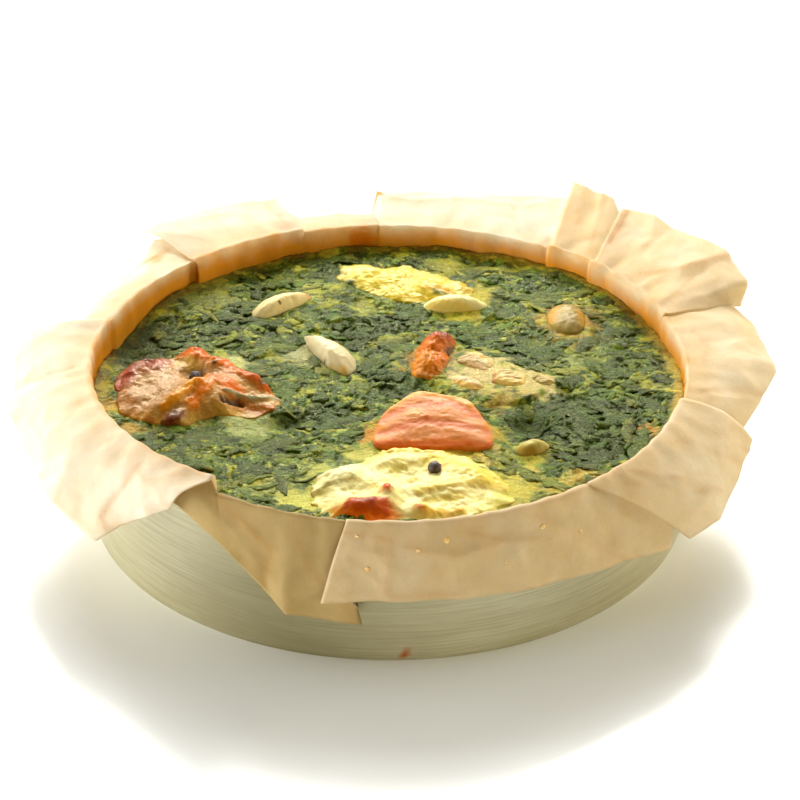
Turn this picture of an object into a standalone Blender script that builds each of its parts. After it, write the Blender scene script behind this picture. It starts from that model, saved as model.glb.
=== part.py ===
"""A spinach quiche, baked and served in its round metal tin with a pleated parchment liner.

Sizes are in millimetres and angles in degrees. The origin is the centre of the tin's underside and +Z
is up. Angles run anticlockwise from +X, so 270 is the front of the tin.
"""

import math

import bmesh
import bpy
from mathutils import Vector, noise
from mathutils.geometry import delaunay_2d_cdt

MM = 0.001
GAP = 0.35  # clearance between neighbouring pieces

# The tin: a straight wall, a flat floor and a small bead where the two are joined
TIN_RADIUS = 100.0
TIN_HEIGHT = 49.5
TIN_WALL = 1.0
TIN_FLOOR = 0.9
TIN_CORNER = 2.2
TIN_BEAD = 0.5
TIN_BEAD_HEIGHT = 1.4
TIN_SIDES = 72

# The parchment: a cup inside the tin, folded over the rim into a ring of pleated flaps
PAPER = 0.6
PAPER_RADIUS = TIN_RADIUS - TIN_WALL - GAP - PAPER / 2
PAPER_FLOOR = TIN_FLOOR + GAP + PAPER / 2
PAPER_CORNER = 3.0
PAPER_LIP = 101.5  # radius at which the paper leaves the rim outwards
TUCK = 1.3  # how far a pleat steps in from the wall at its end
PLEAT_WIDTH = 0.9  # rim angle that a step between two flaps takes
FLAP_ROWS = (0.25, 0.5, 0.75, 1.0)
COLUMN_SPACING = 6.6

# The filling: one baked mass of spinach and egg
FILLING_CLEARANCE = PAPER / 2 + GAP
FILLING_FLOOR = PAPER_FLOOR + FILLING_CLEARANCE
FILLING_TOP = 42.0
FILLING_GRID = 6.8
LEAF_RELIEF = ((34.0, 1.3), (13.0, 1.1), (7.0, 0.7))  # size of the lumps and their height
# Swells and hollows of the surface: x, y, radius, rise
SWELLS = (
    (62.0, 62.0, 30.0, 2.0),
    (-84.0, 30.0, 22.0, -4.5),
    (44.0, -23.0, 8.0, -4.5),
    (-36.0, -22.0, 9.0, -3.5),
    (34.0, -9.0, 8.0, -2.0),
)

# Each flap of the liner: the span of rim it leaves from, the height of its crest at both ends, how far
# its middle bows up, and the corners of its outer edge as angle, radius and height
FLAPS = (
    (
        "right", (346.0, 377.5), (50.8, 50.8), 2.0,
        ((354.0, 123.0, 42.0), (361.0, 129.0, 45.0), (375.0, 129.0, 47.0)),
    ),
    (
        "back_right", (378.0, 404.0), (51.0, 52.0), 1.0,
        (
            (380.0, 129.0, 47.0), (381.5, 133.0, 54.0), (389.0, 134.5, 57.5), (405.0, 133.0, 57.0),
            (410.0, 130.0, 57.0),
        ),
    ),
    (
        "upright", (404.5, 415.0), (52.0, 52.0), 0.0,
        ((412.0, 131.0, 59.5), (420.0, 134.0, 60.5)),
    ),
    (
        "back", (415.5, 451.0), (51.0, 51.0), 1.0,
        ((422.0, 133.0, 53.0), (452.0, 129.5, 50.0)),
    ),
    (
        "back_short", (452.0, 467.0), (50.6, 50.6), 1.0,
        ((453.0, 119.0, 46.0), (466.0, 118.0, 46.0)),
    ),
    (
        "back_left", (468.0, 494.0), (51.0, 51.0), 1.5,
        ((467.0, 116.0, 47.0), (469.0, 129.0, 50.0), (484.0, 132.0, 50.0), (493.0, 129.5, 50.0)),
    ),
    (
        "left_short", (494.5, 523.0), (50.8, 50.8), 3.0,
        ((496.0, 123.0, 44.0), (503.0, 120.0, 41.0), (522.0, 116.0, 40.0)),
    ),
    (
        "left", (523.5, 597.0), (51.0, 56.5), 4.0,
        (
            (531.0, 127.0, 45.0), (546.0, 126.5, 40.0), (569.0, 122.5, 33.0), (578.0, 117.5, 26.0),
            (582.0, 112.5, 34.0), (592.0, 109.5, 47.0),
        ),
    ),
    (
        "front_left", (598.0, 622.0), (52.0, 50.8), 1.2,
        ((602.0, 105.5, 36.0), (609.0, 104.0, 22.0), (612.5, 107.0, 18.0), (623.0, 107.5, 17.5)),
    ),
    (
        "front", (622.5, 668.0), (50.8, 50.8), 2.0,
        ((624.0, 107.0, 26.0), (642.0, 105.0, 26.5), (656.0, 106.0, 24.0), (683.0, 112.0, 20.5)),
    ),
    (
        "front_right", (668.5, 705.0), (50.8, 50.8), 3.0,
        ((684.0, 117.0, 25.0), (690.0, 122.0, 27.0), (702.0, 120.0, 32.0), (708.0, 121.0, 35.0)),
    ),
)


# Directions in degrees that a corner of a piece is averaged over
CORNER_ROUNDING = (-8.0, -4.0, 0.0, 4.0, 8.0)


class Piece:
    """A piece of food set in the filling: an outline seen from above and a height over it."""

    def __init__(self, name, centre, size, turn, top, rise, base, **more):
        self.name = name
        self.centre = centre  # x, y
        self.length, self.width = size
        self.turn = turn  # angle of the length
        self.top = top  # height of its middle
        self.rise = rise  # how much the middle stands over the edge
        self.base = base  # height of its underside
        self.tilt = more.get("tilt", (0.0, 0.0))  # slope along the length and across it
        self.squareness = more.get("squareness", 2.0)  # 2 is an ellipse, more is boxier
        self.taper = more.get("taper", 0.0)  # how much narrower the far end is
        self.bend = more.get("bend", 0.0)  # sideways bow of the length
        self.waver = more.get("waver", 0.06)  # unevenness of the outline
        self.corners = more.get("corners")  # x, y of an outline that isn't oval, in the piece's own axes
        self.lumps = more.get("lumps", ())  # x, y, radius, rise in the piece's own axes
        self.rough = more.get("rough", (9.0, 0.6))  # size and height of small lumps
        self.sides = more.get("sides", 20)
        self.rings = more.get("rings", (0.35, 0.62, 0.82, 0.94, 1.0))
        self.seed = more.get("seed", 0.0)
        self.colour = more["colour"]

    def reach(self, angle):
        """How far the straight-sided outline between the corners is in this direction."""
        c, s = math.cos(angle), math.sin(angle)
        for (x0, y0), (x1, y1) in zip(self.corners, self.corners[1:] + self.corners[:1]):
            slant = c * (y1 - y0) - s * (x1 - x0)
            if slant > 0.0 and 0.0 <= (x0 * s - y0 * c) / slant <= 1.0:
                return (x0 * (y1 - y0) - y0 * (x1 - x0)) / slant
        raise ValueError(self.name + " isn't all in sight of its middle")

    def edge(self, angle):
        """A point of the outline, in the piece's own axes."""
        c, s = math.cos(angle), math.sin(angle)
        waver = 1.0 + self.waver * noise.noise(Vector((2.2 * c, 2.2 * s, self.seed)))
        if self.corners:
            around = [self.reach(angle + math.radians(turn)) for turn in CORNER_ROUNDING]
            radius = sum(around) / len(around) * waver
            return radius * c, radius * s
        round_off = (abs(c) ** self.squareness + abs(s) ** self.squareness) ** (-1.0 / self.squareness)
        x = self.length / 2 * round_off * waver * c
        y = self.width / 2 * round_off * waver * s
        along = 2 * x / self.length
        return x, y * (1.0 - self.taper * (along + 1.0) / 2.0) + self.bend * (1.0 - along * along)

    def outline(self, grow=0.0):
        """The points of the outline all the way round, moved out by grow."""
        points = [Vector(self.edge(math.tau * i / self.sides)) for i in range(self.sides)]
        if not grow:
            return points
        moved = []
        for before, point, after in zip(points[-1:] + points, points, points[1:] + points[:1]):
            along = after - before
            moved.append(point + Vector((along.y, -along.x)).normalized() * grow)
        return moved

    def place(self, x, y):
        """The piece's own x, y in the frame of the tin."""
        turn = math.radians(self.turn)
        return (
            self.centre[0] + x * math.cos(turn) - y * math.sin(turn),
            self.centre[1] + x * math.sin(turn) + y * math.cos(turn),
        )

    def height(self, x, y, share):
        """The top over a point that lies at this share of the way from the middle to the edge."""
        z = self.top - self.rise * share ** 2.6 + self.tilt[0] * x + self.tilt[1] * y
        size, depth = self.rough
        z += depth * noise.noise(Vector((x / size, y / size, self.seed + 3.0)))
        for lump_x, lump_y, radius, rise in self.lumps:
            z += rise * math.exp(-((x - lump_x) ** 2 + (y - lump_y) ** 2) / radius**2)
        return z


PIECES = (
    Piece(
        "fish_chunk", (-65.0, -7.0), (54.0, 44.0), 0.0, 47.4, 4.0, 33.0,
        corners=((33.0, -10.0), (27.0, -1.0), (16.0, 9.0), (2.0, 20.0), (-9.0, 22.0), (-24.0, 12.0),
                 (-27.0, -2.0), (-26.0, -12.0), (-18.0, -19.0), (-6.0, -26.0), (6.0, -19.0), (24.0, -16.0)),
        waver=0.08, seed=1.0, sides=32, rings=(0.2, 0.4, 0.58, 0.74, 0.88, 1.0),
        lumps=((1.0, 17.0, 6.0, 3.4), (10.0, 11.0, 6.0, 3.0), (20.0, 4.0, 6.0, 2.6), (3.0, -7.0, 6.0, 4.0),
               (-5.0, -14.0, 5.0, 2.4), (9.0, -13.0, 5.0, 1.6), (1.0, 5.5, 4.5, -3.5), (-19.0, 11.0, 7.0, 2.0),
               (19.0, -10.0, 6.0, -2.5)),
        rough=(8.0, 1.4), colour=(0.62, 0.36, 0.12, 1.0),
    ),
    Piece(
        "salmon_flake", (14.5, -31.5), (38.0, 26.5), -2.0, 48.2, 1.6, 37.0,
        corners=((19.0, -13.0), (19.0, -4.5), (11.5, 9.5), (-5.5, 13.5), (-17.0, 2.5), (-20.0, -13.0)),
        waver=0.03, seed=2.0, tilt=(0.0, 0.2), sides=28,
        rough=(12.0, 0.8), colour=(0.78, 0.32, 0.15, 1.0),
    ),
    Piece(
        "cheese_front", (5.0, -66.5), (73.0, 43.0), 0.0, 45.4, 2.6, 36.0,
        corners=((37.0, -9.0), (35.0, 1.0), (29.0, 12.0), (22.0, 19.0), (8.0, 22.0), (-9.0, 21.5), (-22.0, 11.5),
                 (-32.0, 0.0), (-33.0, -12.0), (-25.0, -20.0), (-8.0, -24.5), (12.0, -24.0), (28.0, -18.0)),
        waver=0.08, seed=3.0, sides=36, rings=(0.2, 0.38, 0.55, 0.7, 0.84, 0.94, 1.0),
        lumps=((-12.3, -15.7, 5.0, 3.0), (-5.6, -8.3, 3.5, 2.2), (4.7, -16.7, 3.0, 1.6), (15.0, 2.0, 8.0, 1.6),
               (-20.0, 3.0, 8.0, 1.4), (-4.0, 12.0, 6.0, 2.0), (8.0, 12.0, 6.0, 1.8), (2.0, 3.0, 6.0, -1.2)),
        rough=(7.0, 1.6), colour=(0.85, 0.72, 0.24, 1.0),
    ),
    Piece(
        "egg_patch_back", (5.0, 68.0), (56.0, 38.0), 0.0, 44.6, 2.0, 37.0,
        corners=((29.0, -8.0), (26.0, -1.0), (9.0, 12.0), (3.0, 20.0), (-13.0, 15.0), (-24.0, 18.0),
                 (-26.0, 6.0), (-18.0, -4.0), (-5.0, -12.0), (5.0, -15.0), (22.0, -16.0)),
        waver=0.06, seed=4.0, sides=30, lumps=((-14.0, 4.0, 8.0, 1.0), (8.0, -6.0, 7.0, 1.2)),
        rough=(8.0, 1.2), colour=(0.85, 0.68, 0.16, 1.0),
    ),
    Piece(
        "garlic_clove_left", (-37.0, 52.0), (25.0, 11.0), 38.0, 47.0, 4.2, 38.0,
        taper=0.35, bend=1.2, seed=5.0, rough=(9.0, 0.3), colour=(0.80, 0.68, 0.42, 1.0),
    ),
    Piece(
        "garlic_clove_centre", (-20.5, 17.5), (29.0, 12.5), 121.0, 47.2, 4.4, 38.0,
        taper=0.3, bend=-1.5, seed=6.0, rough=(9.0, 0.3), colour=(0.82, 0.72, 0.45, 1.0),
    ),
    Piece(
        "garlic_clove_right", (61.5, 40.5), (21.0, 14.0), 92.0, 47.6, 3.6, 39.0,
        taper=0.15, bend=0.6, seed=7.0, rough=(9.0, 0.3), colour=(0.84, 0.72, 0.44, 1.0),
    ),
    Piece(
        "garlic_clove_back", (23.0, 51.0), (22.0, 10.0), 2.0, 47.2, 3.6, 39.0,
        taper=0.2, bend=0.8, seed=8.0, rough=(9.0, 0.3), colour=(0.85, 0.76, 0.45, 1.0),
    ),
    Piece(
        "garlic_clove_small", (46.0, -43.5), (12.0, 8.0), 25.0, 45.8, 2.8, 38.0,
        taper=0.3, seed=9.0, sides=14, rings=(0.5, 0.8, 1.0), rough=(9.0, 0.3), colour=(0.72, 0.60, 0.26, 1.0),
    ),
    Piece(
        "roasted_piece", (14.6, 12.8), (30.0, 12.5), 76.0, 47.6, 3.2, 38.0,
        squareness=2.6, waver=0.2, seed=10.0, sides=22,
        lumps=((8.5, 0.0, 5.0, 2.6), (-7.0, 0.0, 5.0, 1.0), (1.0, 2.0, 3.0, -1.2)),
        rough=(6.0, 1.2), colour=(0.60, 0.16, 0.05, 1.0),
    ),
    Piece(
        "pale_flake_upper", (29.5, 9.5), (14.0, 10.5), -32.0, 46.6, 2.2, 38.0,
        squareness=2.6, waver=0.1, seed=11.0, sides=16, rings=(0.45, 0.8, 1.0), colour=(0.70, 0.52, 0.24, 1.0),
    ),
    Piece(
        "pale_flake_lower", (26.0, -4.2), (13.0, 6.5), -36.0, 46.0, 2.0, 38.0,
        squareness=2.4, waver=0.1, seed=12.0, sides=16, rings=(0.45, 0.8, 1.0), colour=(0.72, 0.54, 0.28, 1.0),
    ),
    Piece(
        "pale_flake_middle", (39.8, -1.6), (12.5, 10.5), -12.0, 46.4, 2.2, 38.0,
        squareness=2.6, waver=0.1, seed=13.0, sides=16, rings=(0.45, 0.8, 1.0), colour=(0.72, 0.56, 0.28, 1.0),
    ),
    Piece(
        "pale_flake_right", (51.5, -1.5), (8.5, 5.5), -10.0, 44.8, 1.6, 38.0,
        waver=0.1, seed=14.0, sides=14, rings=(0.6, 1.0), colour=(0.66, 0.54, 0.26, 1.0),
    ),
)

# Pieces that leave room for a neighbour they would run into
MAKES_ROOM = {
    "cheese_front": ("salmon_flake",),
    "egg_patch_back": ("garlic_clove_back",),
}

# Peppercorns: the piece each is baked onto, and its x and y
PEPPERCORN = 4.4
PEPPERCORN_SUNK = 1.4
PEPPERCORNS = (("cheese_front", 14.4, -61.5), ("fish_chunk", -64.1, -1.6))


def clear_scene():
    for obj in list(bpy.data.objects):
        bpy.data.objects.remove(obj, do_unlink=True)


def material(name, colour, roughness, metallic=0.0):
    made = bpy.data.materials.new(name)
    made.use_nodes = True
    shader = made.node_tree.nodes["Principled BSDF"]
    shader.inputs["Base Color"].default_value = colour
    shader.inputs["Roughness"].default_value = roughness
    shader.inputs["Metallic"].default_value = metallic
    return made


def polar(angle, radius, height):
    """A point in metres from an angle in degrees and two lengths in millimetres."""
    turn = math.radians(angle)
    return Vector((radius * math.cos(turn), radius * math.sin(turn), height)) * MM


def add_object(name, mesh, mat, collection=None):
    obj = bpy.data.objects.new(name, mesh)
    (collection or bpy.context.scene.collection).objects.link(obj)
    if mat:
        mesh.materials.append(mat)
    return obj


def finish_mesh(bm, name, sharp_angle=35.0):
    """The bmesh as a mesh with its faces out, smooth but for its sharp edges."""
    bmesh.ops.recalc_face_normals(bm, faces=bm.faces)
    mesh = bpy.data.meshes.new(name)
    bm.to_mesh(mesh)
    bm.free()
    mesh.shade_smooth()
    mesh.set_sharp_from_angle(angle=math.radians(sharp_angle))
    return mesh


def apply_modifiers(obj):
    """Replaces the object's mesh by what its modifiers make of it."""
    evaluated = obj.evaluated_get(bpy.context.evaluated_depsgraph_get())
    mesh = bpy.data.meshes.new_from_object(evaluated)
    mesh.name = obj.name
    obj.modifiers.clear()
    obj.data = mesh


# The tin


def make_tin(mat):
    """The tin's section turned about its axis."""
    inside = TIN_RADIUS - TIN_WALL
    bead = TIN_RADIUS + TIN_BEAD
    section = [
        (0.0, 0.0),
        (bead - TIN_BEAD_HEIGHT / 3, 0.0),
        (bead, TIN_BEAD_HEIGHT / 3),
        (bead, TIN_BEAD_HEIGHT * 2 / 3),
        (TIN_RADIUS, TIN_BEAD_HEIGHT),
        (TIN_RADIUS, TIN_HEIGHT - 0.3),
        (TIN_RADIUS - 0.3, TIN_HEIGHT),
        (inside + 0.3, TIN_HEIGHT),
        (inside, TIN_HEIGHT - 0.3),
        (inside, TIN_FLOOR + TIN_CORNER),
        (inside - TIN_CORNER * 0.3, TIN_FLOOR + TIN_CORNER * 0.3),
        (inside - TIN_CORNER, TIN_FLOOR),
        (0.0, TIN_FLOOR),
    ]
    bm = bmesh.new()
    verts = [bm.verts.new(Vector((r, 0.0, z)) * MM) for r, z in section]
    edges = [bm.edges.new(pair) for pair in zip(verts, verts[1:])]
    bmesh.ops.spin(
        bm, geom=verts + edges, cent=(0, 0, 0), axis=(0, 0, 1), angle=math.tau, steps=TIN_SIDES, use_merge=True
    )
    bmesh.ops.remove_doubles(bm, verts=bm.verts, dist=1e-6)
    return add_object("tin", finish_mesh(bm, "tin"), mat)


# The liner


def lerp(a, b, share):
    return a + (b - a) * share


def flap_columns(flap):
    """Rim angle, crest height, wall tuck, bow and outer point for each column of a flap."""
    _, (first, last), (crest_first, crest_last), bow, corners = flap
    outer = [polar(*corner) for corner in corners]
    lengths = [(b - a).length for a, b in zip(outer, outer[1:])]
    total = sum(lengths)
    columns, done = [], 0.0
    for (a, b), length in zip(zip(outer, outer[1:]), lengths):
        rim_share = length / total
        rim_length = rim_share * math.radians(last - first) * PAPER_LIP
        steps = max(1, round(max(length / MM, rim_length) / COLUMN_SPACING))
        columns += [(done + rim_share * i / steps, a.lerp(b, i / steps)) for i in range(steps)]
        done += rim_share
    columns.append((1.0, outer[-1]))
    half = PLEAT_WIDTH / 2
    return [
        (lerp(first + half, last - half, share), lerp(crest_first, crest_last, share), TUCK * share, bow, point)
        for share, point in columns
    ]


def wall_columns():
    """Angle and radius of the paper's wall at each column all the way round."""
    return [(column[0], PAPER_RADIUS - column[2]) for flap in FLAPS for column in flap_columns(flap)]


def paper_line(angle, crest, tuck, bow, outer):
    """The paper from the edge of its floor, up the wall, over the rim and out to the flap's edge."""
    wall = PAPER_RADIUS - tuck
    points = [
        polar(angle, wall - PAPER_CORNER, PAPER_FLOOR),
        polar(angle, wall, PAPER_FLOOR + PAPER_CORNER),
        polar(angle, wall, TIN_HEIGHT - 1.5),
        polar(angle, wall + 0.4 + tuck / 2, crest),
    ]
    lip = polar(angle, PAPER_LIP, crest - 0.2)
    points.append(lip)
    out = Vector((math.cos(math.radians(angle)), math.sin(math.radians(angle)), 1.0)).normalized()
    for row in FLAP_ROWS:
        points.append(lip.lerp(outer, row) + out * (bow * MM * math.sin(math.pi * row)))
    return points


def make_liner(mat):
    bm = bmesh.new()
    lines = [
        [bm.verts.new(point) for point in paper_line(*column)]
        for flap in FLAPS
        for column in flap_columns(flap)
    ]
    centre = bm.verts.new((0.0, 0.0, PAPER_FLOOR * MM))
    for line, following in zip(lines, lines[1:] + lines[:1]):
        bm.faces.new((centre, line[0], following[0]))
        for i in range(len(line) - 1):
            bm.faces.new((line[i], line[i + 1], following[i + 1], following[i]))
    bmesh.ops.triangulate(bm, faces=bm.faces)
    obj = add_object("liner", finish_mesh(bm, "liner", sharp_angle=50.0), mat)
    thicken = obj.modifiers.new("thickness of the paper", "SOLIDIFY")
    thicken.thickness = PAPER * MM
    thicken.offset = 0.0
    return obj


# The filling and the pieces in it


def filling_height(x, y):
    z = FILLING_TOP
    for size, height in LEAF_RELIEF:
        z += height * noise.noise(Vector((x / size, y / size, size)))
    for swell_x, swell_y, radius, rise in SWELLS:
        z += rise * math.exp(-((x - swell_x) ** 2 + (y - swell_y) ** 2) / radius**2)
    return z


def make_filling(mat):
    """A disc with a lumpy top that fills the paper cup."""
    rim = [(angle, radius - FILLING_CLEARANCE) for angle, radius in wall_columns()]
    points = [polar(angle, radius, 0.0).xy / MM for angle, radius in rim]
    edges = [(i, (i + 1) % len(points)) for i in range(len(points))]
    reach = min(radius for _, radius in rim) - FILLING_GRID / 2
    row_height = FILLING_GRID * math.sqrt(3) / 2
    rows = math.ceil(reach / row_height)
    for row in range(-rows, rows + 1):
        shift = FILLING_GRID / 2 * (row % 2)
        for column in range(-rows - 1, rows + 2):
            point = Vector((column * FILLING_GRID + shift, row * row_height))
            if point.length < reach:
                points.append(point)
    flat, _, faces, *_ = delaunay_2d_cdt(points, edges, [], 1, 1e-4)
    bm = bmesh.new()
    top = [bm.verts.new(Vector((p.x, p.y, filling_height(p.x, p.y))) * MM) for p in flat]
    for face in faces:
        bm.faces.new([top[i] for i in face])
    for inset, height in ((0.0, FILLING_FLOOR + PAPER_CORNER), (PAPER_CORNER, FILLING_FLOOR)):
        rim_edges = [edge for edge in bm.edges if edge.is_boundary]
        made = bmesh.ops.extrude_edge_only(bm, edges=rim_edges)["geom"]
        for vert in (v for v in made if isinstance(v, bmesh.types.BMVert)):
            radius = vert.co.xy.length
            vert.co.xy *= (radius - inset * MM) / radius
            vert.co.z = height * MM
    bmesh.ops.holes_fill(bm, edges=[edge for edge in bm.edges if edge.is_boundary], sides=0)
    return add_object("filling", finish_mesh(bm, "filling"), mat)


def piece_mesh(piece):
    """Rings of points from the middle of the piece to its edge, with straight sides below."""
    bm = bmesh.new()
    middle = bm.verts.new(Vector((*piece.place(0.0, 0.0), piece.height(0.0, 0.0, 0.0))) * MM)
    rings = []
    outline = piece.outline()
    for share in piece.rings:
        ring = []
        for x, y in (point * share for point in outline):
            ring.append(bm.verts.new(Vector((*piece.place(x, y), piece.height(x, y, share))) * MM))
        rings.append(ring)
    rings.append([bm.verts.new(Vector((*piece.place(x, y), piece.base)) * MM) for x, y in outline])
    for i in range(piece.sides):
        j = (i + 1) % piece.sides
        bm.faces.new((middle, rings[0][i], rings[0][j]))
        for inner, outer in zip(rings, rings[1:]):
            bm.faces.new((inner[i], outer[i], outer[j], inner[j]))
    bm.faces.new(rings[-1])
    bmesh.ops.triangulate(bm, faces=bm.faces)
    return finish_mesh(bm, piece.name)


def room_for(piece, collection):
    """A hidden prism around the piece, which cuts its room out of what it is set in."""
    bm = bmesh.new()
    ceiling = TIN_HEIGHT * 1.5
    low, high = [], []
    for x, y in piece.outline(grow=GAP):
        spot = piece.place(x, y)
        low.append(bm.verts.new(Vector((*spot, piece.base - GAP)) * MM))
        high.append(bm.verts.new(Vector((*spot, ceiling)) * MM))
    for i in range(piece.sides):
        j = (i + 1) % piece.sides
        bm.faces.new((low[i], low[j], high[j], high[i]))
    bm.faces.new(list(reversed(low)))
    bm.faces.new(high)
    cutter = add_object("room_" + piece.name, finish_mesh(bm, "room_" + piece.name), None, collection)
    cutter.hide_render = True
    cutter.display_type = "WIRE"
    return cutter


def cut(obj, cutter):
    modifier = obj.modifiers.new(cutter.name, "BOOLEAN")
    modifier.operation = "DIFFERENCE"
    modifier.object = cutter


def make_peppercorn(x, y, host, mat, collection):
    """A slightly wrinkled ball sunk in the top of its host."""
    local = Vector((x - host.centre[0], y - host.centre[1]))
    turn = math.radians(-host.turn)
    own = Vector((
        local.x * math.cos(turn) - local.y * math.sin(turn),
        local.x * math.sin(turn) + local.y * math.cos(turn),
    ))
    share = math.hypot(2 * own.x / host.length, 2 * own.y / host.width)
    z = host.height(own.x, own.y, share) + PEPPERCORN / 2 - PEPPERCORN_SUNK
    bm = bmesh.new()
    bmesh.ops.create_icosphere(bm, subdivisions=1, radius=PEPPERCORN / 2 * MM)
    for vert in bm.verts:
        vert.co *= 1.0 + 0.12 * noise.noise(vert.co / MM)
    bmesh.ops.translate(bm, verts=bm.verts, vec=Vector((x, y, z)) * MM)
    return add_object("peppercorn", finish_mesh(bm, "peppercorn"), mat, collection)


def fuse_peppercorns(objects, mat):
    """One union for each host with the peppercorns that lie on it."""
    for host in (piece for piece in PIECES if piece.name in {name for name, _, _ in PEPPERCORNS}):
        collection = bpy.data.collections.new("peppercorns on " + host.name)
        bpy.context.scene.collection.children.link(collection)
        corns = [make_peppercorn(x, y, host, mat, collection) for name, x, y in PEPPERCORNS if name == host.name]
        obj = objects[host.name]
        union = obj.modifiers.new("peppercorns", "BOOLEAN")
        union.operation = "UNION"
        union.operand_type = "COLLECTION"
        union.collection = collection
        apply_modifiers(obj)
        for corn in corns:
            bpy.data.objects.remove(corn, do_unlink=True)
        bpy.data.collections.remove(collection)


def main():
    clear_scene()
    tin_metal = material("brushed tin", (0.62, 0.61, 0.55, 1.0), 0.35, metallic=1.0)
    parchment = material("baked parchment", (0.86, 0.68, 0.46, 1.0), 0.6)
    spinach = material("spinach and egg", (0.06, 0.11, 0.02, 1.0), 0.4)
    pepper = material("peppercorn", (0.03, 0.02, 0.02, 1.0), 0.6)
    quiche = bpy.data.objects.new("quiche", None)
    bpy.context.scene.collection.objects.link(quiche)
    cutters = bpy.data.collections.new("room for the pieces")
    bpy.context.scene.collection.children.link(cutters)
    cutters.hide_render = True

    objects = {"tin": make_tin(tin_metal), "liner": make_liner(parchment), "filling": make_filling(spinach)}
    rooms = {}
    for piece in PIECES:
        objects[piece.name] = add_object(piece.name, piece_mesh(piece), material(piece.name, piece.colour, 0.4))
        rooms[piece.name] = room_for(piece, cutters)
        cut(objects["filling"], rooms[piece.name])
    for name, neighbours in MAKES_ROOM.items():
        for neighbour in neighbours:
            cut(objects[name], rooms[neighbour])
    fuse_peppercorns(objects, pepper)
    for obj in objects.values():
        obj.parent = quiche


main()
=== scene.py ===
import math

import bmesh
import bpy
import numpy as np
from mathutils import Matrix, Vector, noise


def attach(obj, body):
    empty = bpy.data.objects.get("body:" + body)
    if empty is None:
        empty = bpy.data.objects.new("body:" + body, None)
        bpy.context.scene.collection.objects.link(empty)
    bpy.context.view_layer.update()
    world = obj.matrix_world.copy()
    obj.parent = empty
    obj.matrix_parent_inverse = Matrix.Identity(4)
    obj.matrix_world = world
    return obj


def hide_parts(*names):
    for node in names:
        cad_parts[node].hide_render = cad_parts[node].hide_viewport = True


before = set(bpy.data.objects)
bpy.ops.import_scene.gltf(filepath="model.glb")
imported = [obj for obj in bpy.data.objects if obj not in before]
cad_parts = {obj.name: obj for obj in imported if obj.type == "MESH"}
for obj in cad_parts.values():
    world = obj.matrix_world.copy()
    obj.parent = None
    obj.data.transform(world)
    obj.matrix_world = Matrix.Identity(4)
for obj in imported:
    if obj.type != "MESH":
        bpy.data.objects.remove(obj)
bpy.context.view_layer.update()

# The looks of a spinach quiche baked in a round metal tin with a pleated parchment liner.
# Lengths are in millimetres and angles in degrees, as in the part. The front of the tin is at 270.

MM = 0.001
rng = np.random.default_rng(20)


# Small helpers


def srgb(red, green, blue):
    """A linear colour from the 0-255 values of a screen."""
    share = np.array([red, green, blue], float) / 255.0
    return np.where(share <= 0.04045, share / 12.92, ((share + 0.055) / 1.055) ** 2.4)


def lerp(a, b, share):
    return a + (b - a) * share


def smooth(low, high, value):
    """0 below low, 1 above high, and a soft step between them."""
    share = np.clip((value - low) / (high - low), 0.0, 1.0)
    return share * share * (3.0 - 2.0 * share)


def polar(angle, radius, height):
    turn = math.radians(angle)
    return np.array((radius * math.cos(turn), radius * math.sin(turn), height))


def fractal(points, size, seed=0.0, octaves=3):
    """Fractal noise of about -1 to 1 at each point, with lumps of this size (one number or one an axis)."""
    scaled = np.atleast_2d(points) / size
    values = [noise.fractal(Vector((p[0], p[1], p[2] + seed)), 0.7, 2.1, octaves) for p in scaled]
    return np.array(values)


def flat(x, y):
    """Points at height 0 from arrays of x and y."""
    return np.column_stack((np.ravel(x), np.ravel(y), np.zeros(np.size(x))))


def distance_to_line(points, line):
    """How far each point is from a polyline, or from one spot, in the plane or in space as the line is."""
    line = np.array(line, float)
    points = np.asarray(points)[:, :line.shape[1]]
    if len(line) == 1:
        return np.linalg.norm(points - line[0], axis=1)
    best = np.full(len(points), np.inf)
    for start, end in zip(line[:-1], line[1:]):
        along = end - start
        share = np.clip((points - start) @ along / (along @ along), 0.0, 1.0)
        best = np.minimum(best, np.linalg.norm(points - start - share[:, None] * along, axis=1))
    return best


def mesh_object(name, points, faces, mat, colours=None, extra=None):
    """A smooth mesh from points in millimetres, with its colours and other values on its points."""
    mesh = bpy.data.meshes.new(name)
    mesh.from_pydata((np.asarray(points) * MM).tolist(), [], faces)
    mesh.shade_smooth()
    mesh.materials.append(mat)
    if colours is not None:
        layer = mesh.color_attributes.new("tint", "FLOAT_COLOR", "POINT")
        values = np.ones((len(points), 4))
        values[:, :3] = np.clip(colours, 0.0, 1.0)
        layer.data.foreach_set("color", values.ravel())
    for key, values in (extra or {}).items():
        mesh.attributes.new(key, "FLOAT", "POINT").data.foreach_set("value", np.asarray(values, float))
    obj = bpy.data.objects.new(name, mesh)
    bpy.context.scene.collection.objects.link(obj)
    return obj


def bmesh_object(name, bm, mat):
    """A smooth mesh from a bmesh in metres."""
    mesh = bpy.data.meshes.new(name)
    bm.to_mesh(mesh)
    bm.free()
    mesh.shade_smooth()
    mesh.materials.append(mat)
    obj = bpy.data.objects.new(name, mesh)
    bpy.context.scene.collection.objects.link(obj)
    return obj


def outward(obj):
    """Turns all the faces of a closed mesh outwards."""
    bm = bmesh.new()
    bm.from_mesh(obj.data)
    bmesh.ops.recalc_face_normals(bm, faces=bm.faces)
    bm.to_mesh(obj.data)
    bm.free()


def grid_faces(rows, columns, start=0, closed=False):
    """The four-sided faces of rows x columns points, each row joined to a ring if closed."""
    faces = []
    for r in range(rows - 1):
        for c in range(columns if closed else columns - 1):
            d = (c + 1) % columns
            a, b = start + r * columns, start + (r + 1) * columns
            faces.append((a + c, a + d, b + d, b + c))
    return faces


# Material nodes


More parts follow.
